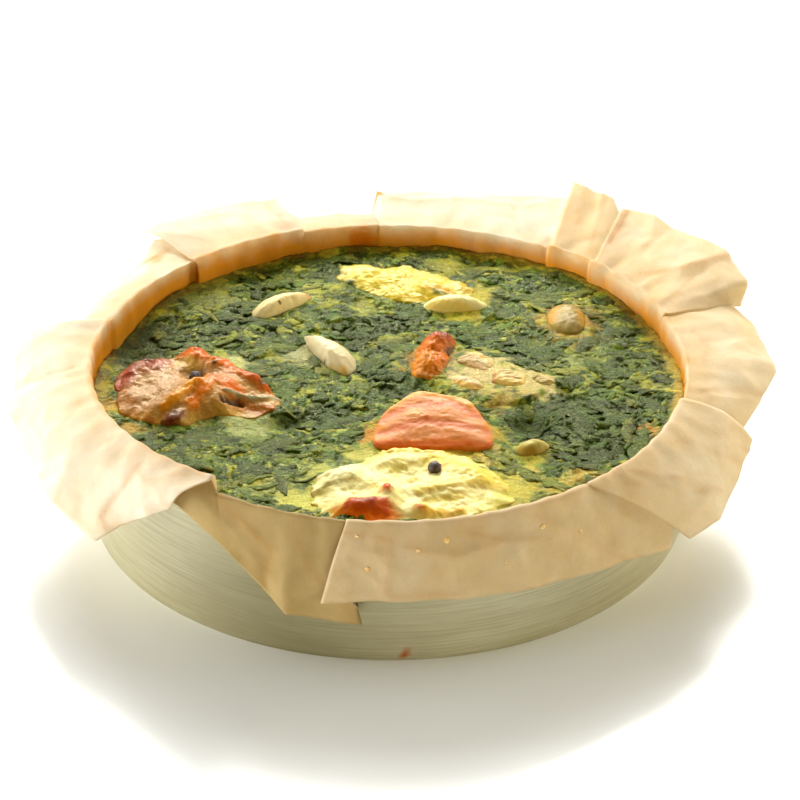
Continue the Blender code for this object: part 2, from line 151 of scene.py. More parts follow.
class Nodes:
    """A new material with short calls for the nodes that feed its Principled BSDF."""

    def __init__(self, name, **values):
        self.material = bpy.data.materials.new(name)
        self.material.use_nodes = True
        self.tree = self.material.node_tree
        self.shader = self.tree.nodes["Principled BSDF"]
        for socket, value in values.items():
            self.shader.inputs[socket.replace("_", " ")].default_value = value

    def node(self, kind, inputs=None, **settings):
        made = self.tree.nodes.new(kind)
        for key, value in settings.items():
            setattr(made, key, value)
        for key, value in (inputs or {}).items():
            if isinstance(value, bpy.types.NodeSocket):
                self.tree.links.new(value, made.inputs[key])
            else:
                made.inputs[key].default_value = value
        return made

    def noise(self, size, detail=3.0, stretch=(1.0, 1.0, 1.0), roughness=0.6, distortion=0.0):
        """Noise with lumps of this size in millimetres, in the object's own space."""
        place = self.node("ShaderNodeTexCoord").outputs["Object"]
        place = self.node("ShaderNodeMapping", {"Vector": place, "Scale": stretch}).outputs[0]
        inputs = {"Vector": place, "Scale": 1.0 / (size * MM), "Detail": detail}
        inputs.update({"Roughness": roughness, "Distortion": distortion})
        return self.node("ShaderNodeTexNoise", inputs).outputs["Fac"]

    def ramp(self, factor, *stops):
        """A colour ramp of (position, colour) stops."""
        made = self.node("ShaderNodeValToRGB", {"Fac": factor})
        elements = made.color_ramp.elements
        while len(elements) < len(stops):
            elements.new(0.5)
        for element, (position, colour) in zip(elements, stops):
            element.position = position
            element.color = (*colour, 1.0) if np.size(colour) == 3 else (colour, colour, colour, 1.0)
        return made.outputs["Color"]

    def mix(self, factor, a, b, blend="MIX"):
        made = self.node("ShaderNodeMix", data_type="RGBA", blend_type=blend)
        for key, value in (("Factor_Float", factor), ("A_Color", a), ("B_Color", b)):
            socket = next(s for s in made.inputs if s.identifier == key)
            if isinstance(value, bpy.types.NodeSocket):
                self.tree.links.new(value, socket)
            else:
                socket.default_value = value if key == "Factor_Float" else (*value, 1.0)
        return next(s for s in made.outputs if s.identifier == "Result_Color")

    def tint(self):
        return self.node("ShaderNodeAttribute", attribute_name="tint").outputs["Color"]

    def value(self, name):
        return self.node("ShaderNodeAttribute", attribute_name=name).outputs["Fac"]

    def bump(self, height, distance, strength=1.0, normal=None):
        """A bump of this height in millimetres."""
        inputs = {"Height": height, "Distance": distance * MM, "Strength": strength}
        if normal is not None:
            inputs["Normal"] = normal
        return self.node("ShaderNodeBump", inputs).outputs["Normal"]

    def feed(self, socket, value):
        self.tree.links.new(value, self.shader.inputs[socket])


OILY = (1.0, 0.88, 0.45, 1.0)  # tint of the shine on greasy food


def food_material(name, grain, contrast, bump, roughness, depth, **values):
    """Food coloured by its points, mottled by two grains and made deeper, with an uneven gloss."""
    made = Nodes(name, **values)
    fine = made.noise(grain, detail=4.0)
    coarse = made.noise(grain * 4.0, detail=3.0)
    low, high = 1.0 - contrast, 1.0 + contrast
    mottle = made.ramp(fine, (0.3, low), (0.7, min(high, 1.0)))
    colour = made.mix(1.0, made.tint(), mottle, "MULTIPLY")
    patches = made.ramp(coarse, (0.35, 1.0 - contrast * 0.6), (0.65, 1.0))
    colour = made.mix(1.0, colour, patches, "MULTIPLY")
    made.feed("Base Color", made.node("ShaderNodeGamma", {"Color": colour, "Gamma": depth}).outputs[0])
    made.feed("Roughness", made.ramp(made.noise(grain * 1.7), (0.3, roughness[0]), (0.7, roughness[1])))
    made.feed("Normal", made.bump(fine, bump, normal=made.bump(coarse, bump * 2.0)))
    return made.material


# The tin


TIN_RADIUS = 100.0
TIN_HEIGHT = 49.5
TIN_WALL = 1.0
TIN_FLOOR = 0.9
TIN_SIDES = 256
TIN_LIP = 0.5  # rounding of the rim
TIN_FOOT = 0.4  # rounding of the edge at the foot
TIN_SPOT = (272.6, 1.6)  # a dried drop of fat: its angle and height
TIN_PAINTED_SHADE = (252.0, 20.0, 0.6)  # where the metal is painted darker, a painted shade standing in for the darker reflection across its front: angle, spread and strength


def tin_material():
    made = Nodes("brushed_tin", Metallic=1.0, Anisotropic=0.4)
    lines = made.noise(1.6, detail=5.0, stretch=(0.06, 0.06, 4.0), roughness=0.7)
    clouds = made.noise(28.0, detail=3.0, stretch=(1.0, 1.0, 1.6))
    metal = made.ramp(lines, (0.3, (0.54, 0.50, 0.32)), (0.7, (0.83, 0.80, 0.60)))
    metal = made.mix(made.ramp(clouds, (0.4, 0.0), (0.75, 0.3)), metal, (0.48, 0.42, 0.22))
    # painted shade: the metal darkened about the front, standing in for the darker reflection there
    metal = made.mix(made.value("dull"), metal, (0.30, 0.25, 0.11))
    made.feed("Base Color", made.mix(made.value("stain"), metal, tuple(srgb(196, 92, 20))))
    made.feed("Roughness", made.ramp(lines, (0.3, 0.30), (0.7, 0.46)))
    made.feed("Normal", made.bump(lines, 0.03, strength=0.6))
    return made.material


def make_tin():
    """The tin's section turned about its axis."""
    inside = TIN_RADIUS - TIN_WALL
    foot = [
        (TIN_RADIUS - TIN_FOOT + TIN_FOOT * math.sin(turn), TIN_FOOT - TIN_FOOT * math.cos(turn))
        for turn in np.radians(range(0, 91, 18))
    ]
    wall = [(TIN_RADIUS, z) for z in np.linspace(2.0, TIN_HEIGHT - TIN_LIP, 14)]
    lip = [
        (TIN_RADIUS - TIN_LIP + TIN_LIP * math.cos(turn), TIN_HEIGHT - TIN_LIP + TIN_LIP * math.sin(turn))
        for turn in np.radians(range(30, 180, 30))
    ]
    floor = [(inside, TIN_HEIGHT - TIN_LIP), (inside, 3.2), (inside - 0.7, 1.6), (inside - 2.2, TIN_FLOOR)]
    section = np.array([(60.0, 0.0)] + foot + wall + lip + floor + [(60.0, TIN_FLOOR)])
    points = [polar(360.0 * i / TIN_SIDES, r, z) for i in range(TIN_SIDES) for r, z in section]
    columns = len(section)
    faces = grid_faces(TIN_SIDES, columns)
    last = (TIN_SIDES - 1) * columns
    faces += [(last + c, last + c + 1, c + 1, c) for c in range(columns - 1)]
    for end in (0, columns - 1):
        points.append((0.0, 0.0, section[end][1]))
        ring = [i * columns + end for i in range(TIN_SIDES)]
        faces += [(len(points) - 1, a, b) for a, b in zip(ring, ring[1:] + ring[:1])]
    points = np.array(points)
    # a drop of fat that ran down and dried at the foot, a little right of the front
    drop = polar(TIN_SPOT[0], TIN_RADIUS, TIN_SPOT[1])
    away = np.linalg.norm((points - drop) / (1.6, 1.6, 0.8), axis=1)
    angle = np.degrees(np.arctan2(points[:, 1], points[:, 0])) % 360.0
    # painted shade: how much darker the metal is painted about the front, for the darker reflection there
    dull = TIN_PAINTED_SHADE[2] * np.exp(-((angle - TIN_PAINTED_SHADE[0]) / TIN_PAINTED_SHADE[1]) ** 2)
    values = {"stain": 1.0 - smooth(0.6, 1.4, away), "dull": dull}
    obj = mesh_object("tin_shell", points, faces, tin_material(), extra=values)
    outward(obj)
    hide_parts("tin")
    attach(obj, "root")


# The parchment: eleven overlapping flaps, each a strip from inside the tin over the rim


PAPER_RADIUS = 98.35  # middle of the paper's wall
PAPER_LIP = 100.9  # radius where the paper leaves the rim
PAPER_THICKNESS = 0.22
TUCK = 1.3  # how much further in the wall of a flap lies at its last end than at its first
WALL_FOOT = 31.0  # how deep the paper's wall is modelled, under the filling's edge
LAYER = 0.42  # lift from one layer of paper to the next
OVERLAP = 5.0  # degrees that a flap runs on under its neighbour
COLUMN = 1.3  # spacing of the columns of points
ROWS = 46  # points up each column

# Each flap: rim span, crest height at both ends, bow, outer corners as angle, radius and height, layer, and
# how tan it looks, partly its paper and partly painted shade on flaps in less light; above 1 painted shade
# darkens the whole flap
FLAPS = (
    ("right", (346.0, 377.5), (50.8, 50.8), 2.0,
     ((354.0, 123.0, 42.0), (361.0, 129.0, 45.0), (375.0, 129.0, 47.0)), 1, 0.4),
    ("back_right", (378.0, 404.0), (51.0, 52.0), 1.0,
     ((380.0, 129.0, 47.0), (381.5, 133.0, 54.0), (389.0, 134.5, 57.5), (405.0, 133.0, 57.0),
      (410.0, 130.0, 57.0)), 2, 0.45),
    ("upright", (404.5, 415.0), (52.0, 52.0), 0.0, ((412.0, 131.0, 59.5), (420.0, 134.0, 60.5)), 1, 0.5),
    ("back", (415.5, 451.0), (51.0, 51.0), 1.0, ((422.0, 133.0, 53.0), (452.0, 129.5, 50.0)), 0, 0.05),
    ("back_short", (452.0, 467.0), (50.6, 50.6), 1.0, ((453.0, 119.0, 46.0), (466.0, 118.0, 46.0)), 1, 0.3),
    ("back_left", (468.0, 494.0), (51.0, 51.0), 1.5,
     ((467.0, 116.0, 47.0), (469.0, 129.0, 50.0), (484.0, 132.0, 50.0), (493.0, 129.5, 50.0)), 2, 0.15),
    ("left_short", (494.5, 523.0), (50.8, 50.8), 3.0,
     ((496.0, 123.0, 44.0), (503.0, 120.0, 41.0), (522.0, 116.0, 40.0)), 0, 0.15),
    ("left", (523.5, 597.0), (51.0, 56.5), 4.0,
     ((531.0, 127.0, 45.0), (546.0, 126.5, 40.0), (569.0, 122.5, 33.0), (578.0, 117.5, 26.0),
      (582.0, 112.5, 34.0), (592.0, 109.5, 47.0)), 1, 0.05),
    # this flap's tone above 1 darkens it all over: painted shade
    ("front_left", (598.0, 622.0), (52.0, 50.8), 1.2,
     ((602.0, 105.5, 36.0), (609.0, 104.0, 22.0), (612.5, 106.0, 18.0), (625.5, 105.6, 16.8)), 0, 1.7),
    ("front", (622.5, 668.0), (50.8, 50.8), 2.0,
     ((618.8, 107.4, 25.0), (642.0, 106.0, 25.5), (656.0, 106.0, 23.5), (683.0, 112.0, 20.5)), 1, 0.4),
    ("front_right", (668.5, 705.0), (50.8, 50.8), 3.0,
     ((684.0, 117.0, 25.0), (690.0, 122.0, 27.0), (702.0, 120.0, 32.0), (708.0, 121.0, 35.0)), 2, 0.35),
)


def flap_line(flap, share):
    """Key points of the paper at this share of the flap's width: up the wall, over the rim and out."""
    _, (first, last), crests, bow, corners, _, _ = flap
    outer = np.array([polar(*corner) for corner in corners])
    lengths = np.linalg.norm(np.diff(outer, axis=0), axis=1)
    at = share * lengths.sum()
    reach = np.concatenate(([0.0], np.cumsum(lengths)))
    edge = np.array([np.interp(at, reach, outer[:, axis]) for axis in range(3)])
    angle = lerp(first, last, share)
    crest = lerp(*crests, share)
    tuck = TUCK * share
    wall = PAPER_RADIUS - tuck
    lip = polar(angle, PAPER_LIP, crest - 0.2)
    out = polar(angle, 1.0, 1.0) / math.sqrt(2.0)
    line = [
        polar(angle, wall, WALL_FOOT),
        polar(angle, wall, (WALL_FOOT + TIN_HEIGHT) / 2),
        polar(angle, wall, TIN_HEIGHT - 1.5),
        polar(angle, wall + 0.4 + tuck / 2, crest),
        lip,
    ]
    for row in (0.25, 0.5, 0.75, 1.0):
        line.append(lerp(lip, edge, row) + out * (bow * math.sin(math.pi * row)))
    return np.array(line)


def resample(line, count):
    """A smooth curve through the key points, with its points denser over the rim."""
    keys = np.arange(len(line), dtype=float)
    wall = np.linspace(0.0, 2.0, 7)[:-1]
    rim = np.linspace(2.0, 4.5, 17)[:-1]
    at = np.concatenate((wall, rim, np.linspace(4.5, 8.0, count - len(wall) - len(rim))))
    padded = np.vstack((2 * line[0] - line[1], line, 2 * line[-1] - line[-2]))
    base = np.clip(at.astype(int), 0, len(keys) - 2)
    t = (at - base)[:, None]
    p0, p1, p2, p3 = (padded[base + i] for i in range(4))
    square = (2 * p0 - 5 * p1 + 4 * p2 - p3) * t**2
    cube = (3 * p1 - p0 - 3 * p2 + p3) * t**3
    return 0.5 * (2 * p1 + (p2 - p0) * t + square + cube)


def sheet_normals(grid):
    """The direction that each point of a sheet faces: up and outwards."""
    across = np.gradient(grid, axis=0)
    along = np.gradient(grid, axis=1)
    normal = np.cross(along, across)
    return normal / np.maximum(np.linalg.norm(normal, axis=2, keepdims=True), 1e-9)


def flap_sheet(index):
    """The columns of one flap, with where each lies across it, run on under a neighbour that lies over it."""
    flap = FLAPS[index]
    before, after = FLAPS[index - 1], FLAPS[(index + 1) % len(FLAPS)]
    outer = np.array([polar(*corner) for corner in flap[4]])
    at_rim = math.radians(flap[1][1] - flap[1][0]) * PAPER_LIP
    width = max(np.linalg.norm(np.diff(outer, axis=0), axis=1).sum(), at_rim)
    shares = np.linspace(0.0, 1.0, max(8, round(width / COLUMN)))
    columns = [resample(flap_line(flap, share), ROWS) for share in shares]
    under = [0.0] * len(columns)
    for neighbour, at_start in ((before, True), (after, False)):
        if neighbour[5] <= flap[5]:
            continue
        span = neighbour[1][1] - neighbour[1][0]
        steps = 6
        for i in range(1, steps + 1):
            share = OVERLAP / span * i / steps
            line = flap_line(neighbour, 1.0 - share if at_start else share)
            cut = 0.9 - 0.25 * i / steps
            line[5:] = line[4] + (line[5:] - line[4]) * cut
            column = resample(line, ROWS)
            if at_start:
                columns.insert(0, column)
                under.insert(0, 1.0)
            else:
                columns.append(column)
                under.append(1.0)
    return np.array(columns), np.array(under)


# Stains on the paper: angle, radius, height, size, strength
PAPER_STAINS = (
    (137.0, 112.0, 44.0, 9.0, 0.8),
    (92.0, 126.0, 49.0, 4.0, 1.0),
    (96.0, 98.0, 46.0, 6.0, 0.9),
    (181.0, 108.0, 47.0, 3.0, 0.7),
    (212.0, 123.0, 32.0, 3.0, 0.6),
    (341.0, 113.0, 39.0, 3.0, 0.7),
)
# Drops of fat on the front flap: shares across it and up it, and size
PAPER_DROPS = (
    (0.36, 0.55, 2.0), (0.26, 0.62, 1.4), (0.70, 0.58, 1.7), (0.80, 0.68, 1.3), (0.11, 0.76, 1.6),
    (0.05, 0.52, 1.2), (0.52, 0.78, 1.1),
)
# Creases in each flap: the line as shares across it and up it (0.48 is the rim, 1 the outer edge), then the
# rise, how far it spreads and how strongly painted shade browns the paper along it
CREASES = {
    "left": (
        (((0.26, 0.50), (0.25, 0.69), (0.16, 1.0)), -1.3, 4.0, 0.55),
        (((0.36, 0.50), (0.33, 0.80), (0.27, 1.0)), 0.8, 5.0, 0.1),
        (((0.45, 0.49), (0.30, 0.98)), -0.8, 4.0, 0.3),
        (((0.57, 0.50), (0.40, 1.0)), 0.9, 5.0, 0.1),
        (((0.66, 0.46), (0.50, 0.90)), -0.6, 3.0, 0.2),
        (((0.68, 0.49), (0.56, 1.0)), 0.8, 4.0, 0.15),
        (((0.79, 0.51), (0.79, 0.69), (0.75, 0.87)), -1.5, 3.5, 0.5),
        (((0.59, 0.76), (0.50, 1.0)), 0.5, 2.0, 0.2),
        (((0.75, 0.87), (0.78, 0.96), (0.86, 1.0)), 0.8, 2.0, 0.6),
        (((0.93, 0.45), (0.86, 0.62), (0.79, 0.53)), 0.9, 2.5, 0.45),
        (((0.10, 0.49), (0.06, 1.0)), 0.7, 3.0, 0.3),
    ),
    "front_left": (
        (((0.03, 0.44), (0.23, 0.58), (0.46, 0.67)), 1.1, 2.5, 0.55),
        (((0.46, 0.67), (0.34, 0.96)), -0.9, 2.5, 0.4),
        (((0.62, 0.50), (0.70, 0.74), (0.96, 0.95)), 0.7, 3.0, 0.3),
    ),
    "front": (
        (((0.0, 0.49), (0.18, 0.53), (0.17, 0.93)), 1.1, 2.5, 0.45),
        (((0.45, 0.51), (0.54, 0.60), (0.69, 0.67)), 1.5, 2.0, 0.4),
        (((0.0, 0.58), (0.17, 0.64)), 0.6, 1.6, 0.2),
        (((0.04, 0.70), (0.14, 0.84)), 0.7, 1.8, 0.2),
        (((0.18, 0.96), (0.35, 0.96)), 0.5, 1.5, 0.3),
        (((0.22, 0.60), (0.38, 0.66), (0.52, 0.62)), 1.2, 2.0, 0.3),
        (((0.72, 0.52), (0.86, 1.0)), -0.9, 2.4, 0.35),
    ),
    "front_right": (
        (((0.22, 0.44), (0.31, 0.62), (0.43, 0.91)), 1.2, 2.5, 0.3),
        (((0.12, 0.51), (0.33, 0.80)), -0.9, 2.0, 0.25),
        (((0.60, 0.50), (0.66, 0.78), (0.80, 1.0)), -0.8, 3.0, 0.3),
        (((0.84, 0.50), (0.90, 1.0)), 0.8, 2.5, 0.4),
    ),
    "right": (
        (((0.81, 0.49), (0.62, 0.53), (0.43, 0.49)), -0.9, 2.0, 0.35),
        (((0.43, 0.51), (0.40, 0.96)), 1.0, 3.0, 0.25),
        (((0.07, 0.50), (0.10, 1.0)), -1.2, 2.0, 0.55),
        (((0.70, 0.55), (0.78, 1.0)), -0.6, 3.0, 0.15),
    ),
    "back_right": (
        (((0.32, 1.0), (0.39, 0.67), (0.58, 0.48)), 1.4, 3.5, 0.5),
        (((0.32, 1.0), (0.30, 0.71), (0.18, 0.48)), -0.9, 3.0, 0.2),
        (((0.97, 1.0), (0.97, 0.60)), -0.6, 2.0, 0.8),
        (((0.70, 0.52), (0.72, 1.0)), -0.7, 3.0, 0.2),
    ),
    "upright": ((((0.25, 1.0), (0.18, 0.50)), 1.0, 2.0, 0.4), (((0.70, 1.0), (0.62, 0.5)), 0.5, 2.0, 0.2)),
    "back": (
        (((1.0, 0.80), (0.50, 0.82), (0.08, 0.86)), 0.9, 2.5, 0.25),
        (((0.22, 0.50), (0.26, 0.84)), -0.7, 3.0, 0.2),
        (((0.62, 0.50), (0.58, 0.82)), 0.7, 3.0, 0.15),
    ),
    "back_short": ((((0.5, 0.50), (0.45, 1.0)), 0.7, 2.5, 0.3),),
    "back_left": (
        (((1.0, 0.87), (0.79, 0.56)), 0.9, 2.5, 0.35),
        (((0.27, 1.0), (0.12, 0.50)), -0.9, 2.5, 0.35),
        (((0.55, 0.50), (0.60, 1.0)), 0.6, 3.0, 0.15),
    ),
    "left_short": (
        (((0.30, 0.50), (0.34, 1.0)), -0.8, 2.5, 0.3),
        (((0.72, 0.50), (0.70, 1.0)), 0.9, 3.0, 0.35),
    ),
}
FACETS = ((17.0, 1.3), (7.0, 0.35))  # size and height of the flat facets that crumpled paper has


def creased(grid, under, name):
    """How far the creases of a flap lift each of its points, and how much painted shade browns it along them.
    """
    own = grid[under == 0.0]
    last = np.array((len(own) - 1, ROWS - 1))
    spots = grid.reshape(-1, 3)
    lift = np.zeros(len(spots))
    brown = np.zeros(len(spots))
    for line, rise, spread, tan in CREASES[name]:
        places = [own[tuple(np.round(np.array(spot) * last).astype(int))] for spot in line]
        away = distance_to_line(spots, places)
        lift += rise * np.exp(-away / spread)
        # painted shade: the paper is browned along each crease, where the fold lies in shade
        brown = np.maximum(brown, tan * np.exp(-away))
    return lift.reshape(grid.shape[:2]), brown


def facets(points, seed):
    """The height of crumpled paper: flat facets that meet in sharp folds."""
    height = np.zeros(len(points))
    for i, (size, depth) in enumerate(FACETS):
        height += depth * (0.35 - 1.6 * np.abs(fractal(points, size, seed=seed + 13.0 * i, octaves=1)))
    return height


def make_drops(places, normals):
    """Flattened drops of fat on the paper."""
    made = Nodes("fat_drop", Specular_IOR_Level=0.5, Subsurface_Weight=0.2, Subsurface_Scale=0.001)
    specks = made.noise(0.5, detail=3.0)
    made.feed("Base Color", made.ramp(specks, (0.3, srgb(216, 170, 96)), (0.7, srgb(240, 206, 140))))
    made.feed("Roughness", made.ramp(specks, (0.3, 0.05), (0.7, 0.14)))
    made.feed("Normal", made.bump(specks, 0.05))
    bm = bmesh.new()
    for place, normal, (_, _, size) in zip(places, normals, PAPER_DROPS):
        turn = Vector(normal).to_track_quat("Z", "Y")
        verts = bmesh.ops.create_icosphere(bm, subdivisions=3, radius=size / 2)["verts"]
        for vert in verts:
            vert.co.z *= 0.45
            vert.co = (turn @ vert.co + Vector(place)) * MM
    obj = bmesh_object("fat_drops", bm, made.material)
    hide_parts("liner")
    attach(obj, "root")


def make_liner():
    """All the flaps as thin closed sheets of crumpled paper."""
    points, faces, colours, stains = [], [], [], []
    total = 0
    for index, flap in enumerate(FLAPS):
        grid, under = flap_sheet(index)
        columns = len(grid)
        spots = grid.reshape(-1, 3)
        free = smooth(0.50, 0.75, np.linspace(0, 1, ROWS))[None, :] * np.ones((columns, 1))
        # brown: how much painted crease shade browns each point
        creases, brown = creased(grid, under, flap[0])
        crumple = creases + facets(spots, index * 5.0).reshape(columns, ROWS)
        crumple *= 1.0 - 0.75 * under[:, None]
        turn = np.degrees(np.arctan2(grid[..., 1], grid[..., 0]))
        ripple = 0.18 * np.sin(np.radians(turn) * 61.0 + 2.0 * crumple + index)
        lift = LAYER * (flap[5] - 1) - under[:, None] * (0.5 + 1.2 * free)
        parts = np.split(grid, np.flatnonzero(np.diff(under)) + 1)
        normal = np.concatenate([sheet_normals(part) for part in parts])
        if normal[columns // 2, -1, 2] < 0:
            normal = -normal
        height = lift + crumple * (0.12 + 0.88 * free) + ripple * (1.0 - free)
        sheet = grid + normal * height[..., None]
        low = sheet - normal * PAPER_THICKNESS
        if flap[0] == "front":
            last = (np.flatnonzero(under == 0.0)[-1], ROWS - 1)
            spots_of_fat = [tuple(np.round(np.array(drop[:2]) * last).astype(int)) for drop in PAPER_DROPS]
            make_drops([sheet[at] for at in spots_of_fat], [normal[at] for at in spots_of_fat])
        both = np.concatenate((sheet.reshape(-1, 3), low.reshape(-1, 3)))
        count = columns * ROWS
        top = grid_faces(columns, ROWS)
        bottom = [tuple(i + count for i in reversed(face)) for face in top]
        border = [c * ROWS for c in range(columns)] + [(columns - 1) * ROWS + r for r in range(1, ROWS)]
        border += [c * ROWS + ROWS - 1 for c in range(columns - 2, -1, -1)] + list(range(ROWS - 2, 0, -1))
        sides = [(a, b, b + count, a + count) for a, b in zip(border, border[1:] + border[:1])]
        faces += [tuple(i + total for i in face) for face in top + bottom + sides]
        points.append(both)
        total += 2 * count
        tint, stain = paper_colour(spots, brown, flap[6])
        colours += [tint, tint]
        stains += [stain, stain]
    obj = mesh_object(
        "parchment_liner", np.concatenate(points), faces, paper_material(), np.concatenate(colours),
        {"grease": np.concatenate(stains)},
    )
    outward(obj)
    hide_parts("liner")
    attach(obj, "root")


def paper_colour(points, crease_shade, tone):
    """Baked paper: tan where it is greasy and browned by the tin, pale on the free flaps, and browned or
    darkened with painted shade along creases and on flaps in less light.
    """
    radius = np.hypot(points[:, 0], points[:, 1])
    angle = np.degrees(np.arctan2(points[:, 1], points[:, 0])) % 360.0
    wall = 1.0 - smooth(99.0, 100.5, radius)
    depth = smooth(51.5, 44.0, points[:, 2]) * wall
    pale, tan, brown = srgb(250, 242, 226), srgb(242, 214, 152), srgb(255, 192, 54)
    patches = 0.5 + 0.5 * fractal(points, 22.0, seed=3.0)
    mottle = fractal(points, 6.0, seed=8.0)
    near_rim = (1.0 - smooth(101.0, 112.0, radius)) * 0.3
    shade = np.clip(tone + (1.0 - tone) * near_rim + 0.3 * (patches - 0.5) + 0.12 * mottle, 0.0, 1.0)
    # above a tone of 1 the whole flap is darkened: painted shade for a flap that lies in shadow
    tint = lerp(pale, tan, shade[:, None]) * (1.0 - 0.35 * max(0.0, tone - 1.0))
    # painted shade: browner along the creases
    tint = lerp(tint, srgb(226, 170, 92), (0.7 * crease_shade)[:, None])
    back_left = np.cos(np.radians(angle - 150.0))
    browning = 0.08 + 0.95 * depth + 0.12 * back_left + 0.4 * (patches - 0.5) + 0.15 * mottle
    browning = np.clip(wall * browning, 0.0, 1.0)
    tint = lerp(tint, brown, browning[:, None])
    stain = np.zeros(len(points))
    for spot_angle, spot_radius, spot_height, size, strength in PAPER_STAINS:
        away = np.linalg.norm(points - polar(spot_angle, spot_radius, spot_height), axis=1)
        edge = away + 0.3 * size * fractal(points, size * 0.6, seed=9.0)
        stain = np.maximum(stain, strength * (1.0 - smooth(0.4 * size, size, edge)))
    return tint, np.clip(stain + 0.3 * browning, 0.0, 1.0)


def paper_material():
    made = Nodes("baked_parchment", Specular_IOR_Level=0.2, Specular_Tint=OILY)
    fibres = made.noise(1.2, detail=5.0, roughness=0.7)
    clouds = made.noise(9.0, detail=4.0)
    colour = made.mix(1.0, made.tint(), made.ramp(fibres, (0.25, 0.93), (0.75, 1.0)), "MULTIPLY")
    colour = made.mix(1.0, colour, made.ramp(clouds, (0.3, (0.93, 0.91, 0.86)), (0.65, 1.0)), "MULTIPLY")
    stained = made.mix(1.0, colour, tuple(srgb(244, 190, 110)), "MULTIPLY")
    colour = made.mix(made.value("grease"), colour, stained)
    made.feed("Base Color", colour)
    gloss = made.ramp(made.value("grease"), (0.0, 0.62), (0.8, 0.34))
    made.feed("Roughness", gloss)
    normal = made.bump(fibres, 0.05, normal=made.bump(clouds, 0.35))
    made.feed("Normal", normal)
    through = made.node("ShaderNodeBsdfTranslucent", {"Color": colour, "Normal": normal})
    both = made.node("ShaderNodeMixShader", {"Fac": 0.45, 1: made.shader.outputs[0], 2: through.outputs[0]})
    output = next(node for node in made.tree.nodes if node.type == "OUTPUT_MATERIAL")
    made.tree.links.new(both.outputs[0], output.inputs["Surface"])
    return made.material


# The filling


FILLING_EDGE = 97.9
FILLING_TOP = 42.0
FILLING_FOOT = 33.0
LEAF_RELIEF = ((34.0, 1.3), (13.0, 1.1), (7.0, 0.7))  # size and height of the lumps in the surface
# Where the surface rises or sinks: x, y, radius, rise
SWELLS = (
    (34.0, 2.0, 14.0, 3.0),
    (62.0, 62.0, 30.0, 2.0),
    (-84.0, 30.0, 22.0, -4.5),
    (46.5, -25.5, 7.0, -5.0),
    (58.0, -24.0, 9.0, 1.6),
    (-36.0, -22.0, 9.0, -3.5),
    (34.0, -9.0, 8.0, -2.0),
)
GRID = 300  # points across the filling

DARK = srgb(30, 60, 18)
LEAF = srgb(60, 102, 16)
SAGE = srgb(102, 130, 34)
LIME = srgb(132, 164, 34)
CUSTARD = srgb(208, 202, 66)
BUTTER = srgb(238, 206, 70)
BROWN = srgb(150, 88, 30)
SPINACH_DEPTH = 1.15  # above 1 the colours are deeper than they look in the light
WET_GREEN = (0.9, 1.0, 0.16, 1.0)  # tint of the shine on wet spinach

# Where the egg shows more through the spinach: x, y, radius, colour, strength
EGGY = (
    (66.0, 17.0, 12.0, srgb(170, 174, 62), 0.5),
    (61.0, 12.0, 7.0, srgb(190, 194, 120), 0.5),
    (63.0, 29.0, 9.0, srgb(206, 170, 58), 0.6),
    (31.0, 3.0, 17.0, srgb(238, 216, 152), 1.0),
    (47.0, -3.0, 11.0, srgb(234, 214, 146), 1.0),
    (30.0, 61.0, 11.0, srgb(220, 200, 62), 0.8),
    (20.0, 80.0, 10.0, srgb(210, 198, 70), 0.7),
    (-8.0, 55.0, 9.0, srgb(196, 192, 66), 0.7),
    (-23.0, 66.0, 10.0, srgb(190, 188, 70), 0.7),
    (38.0, -66.0, 14.0, srgb(230, 216, 84), 1.0),
    (-27.0, -74.0, 13.0, srgb(230, 226, 110), 1.0),
    (-22.0, -57.0, 9.0, srgb(216, 216, 110), 0.85),
    (-8.0, -47.0, 8.0, srgb(232, 222, 110), 0.9),
    (20.0, -46.0, 19.0, srgb(240, 206, 84), 0.95),
    (-4.0, -36.0, 8.0, srgb(236, 160, 50), 0.9),
    (33.0, -34.0, 7.0, srgb(226, 190, 90), 0.8),
    (14.0, -18.0, 10.0, srgb(238, 182, 70), 0.9),
    (61.5, 40.0, 15.0, srgb(216, 164, 52), 0.85),
    (-66.0, -4.0, 31.0, srgb(206, 180, 80), 0.75),
    (12.0, 14.0, 13.0, srgb(214, 156, 50), 0.8),
    (-21.0, 17.0, 12.0, srgb(190, 184, 110), 0.7),
    (-38.0, 51.0, 11.0, srgb(180, 176, 90), 0.7),
    (23.0, 51.0, 13.0, srgb(226, 206, 76), 0.9),
    (46.0, -44.0, 10.0, srgb(206, 196, 80), 0.8),
    (37.0, -13.0, 9.0, srgb(234, 208, 116), 1.0),
    (36.0, -17.5, 4.5, srgb(176, 118, 44), 0.9),
    (44.0, -56.0, 6.0, srgb(224, 200, 80), 0.9),
    (30.0, -77.0, 9.0, srgb(196, 190, 84), 0.7),
    (84.0, -29.0, 6.0, srgb(222, 160, 44), 0.9),
    (61.0, -58.0, 7.0, srgb(224, 186, 66), 0.8),
    (53.0, -67.0, 9.0, srgb(222, 196, 70), 0.8),
    (44.0, -77.0, 9.0, srgb(214, 196, 84), 0.7),
    (-52.0, 15.0, 9.0, srgb(214, 214, 140), 0.9),
    (-46.0, -26.0, 13.0, srgb(184, 190, 124), 0.85),
    (-31.0, 20.0, 9.0, srgb(196, 190, 140), 0.9),
    (-85.0, -31.0, 6.0, srgb(214, 170, 50), 0.8),
    (-84.0, -44.0, 7.0, srgb(226, 184, 56), 0.85),
    (-91.0, -16.0, 5.0, srgb(222, 180, 56), 0.8),
    (-75.0, -57.0, 6.0, srgb(218, 184, 64), 0.7),
    (-62.0, 62.0, 16.0, srgb(164, 160, 70), 0.6),
    (-40.0, -66.0, 10.0, srgb(196, 196, 110), 0.6),
    (12.0, -16.0, 7.0, srgb(230, 190, 90), 0.8),
)

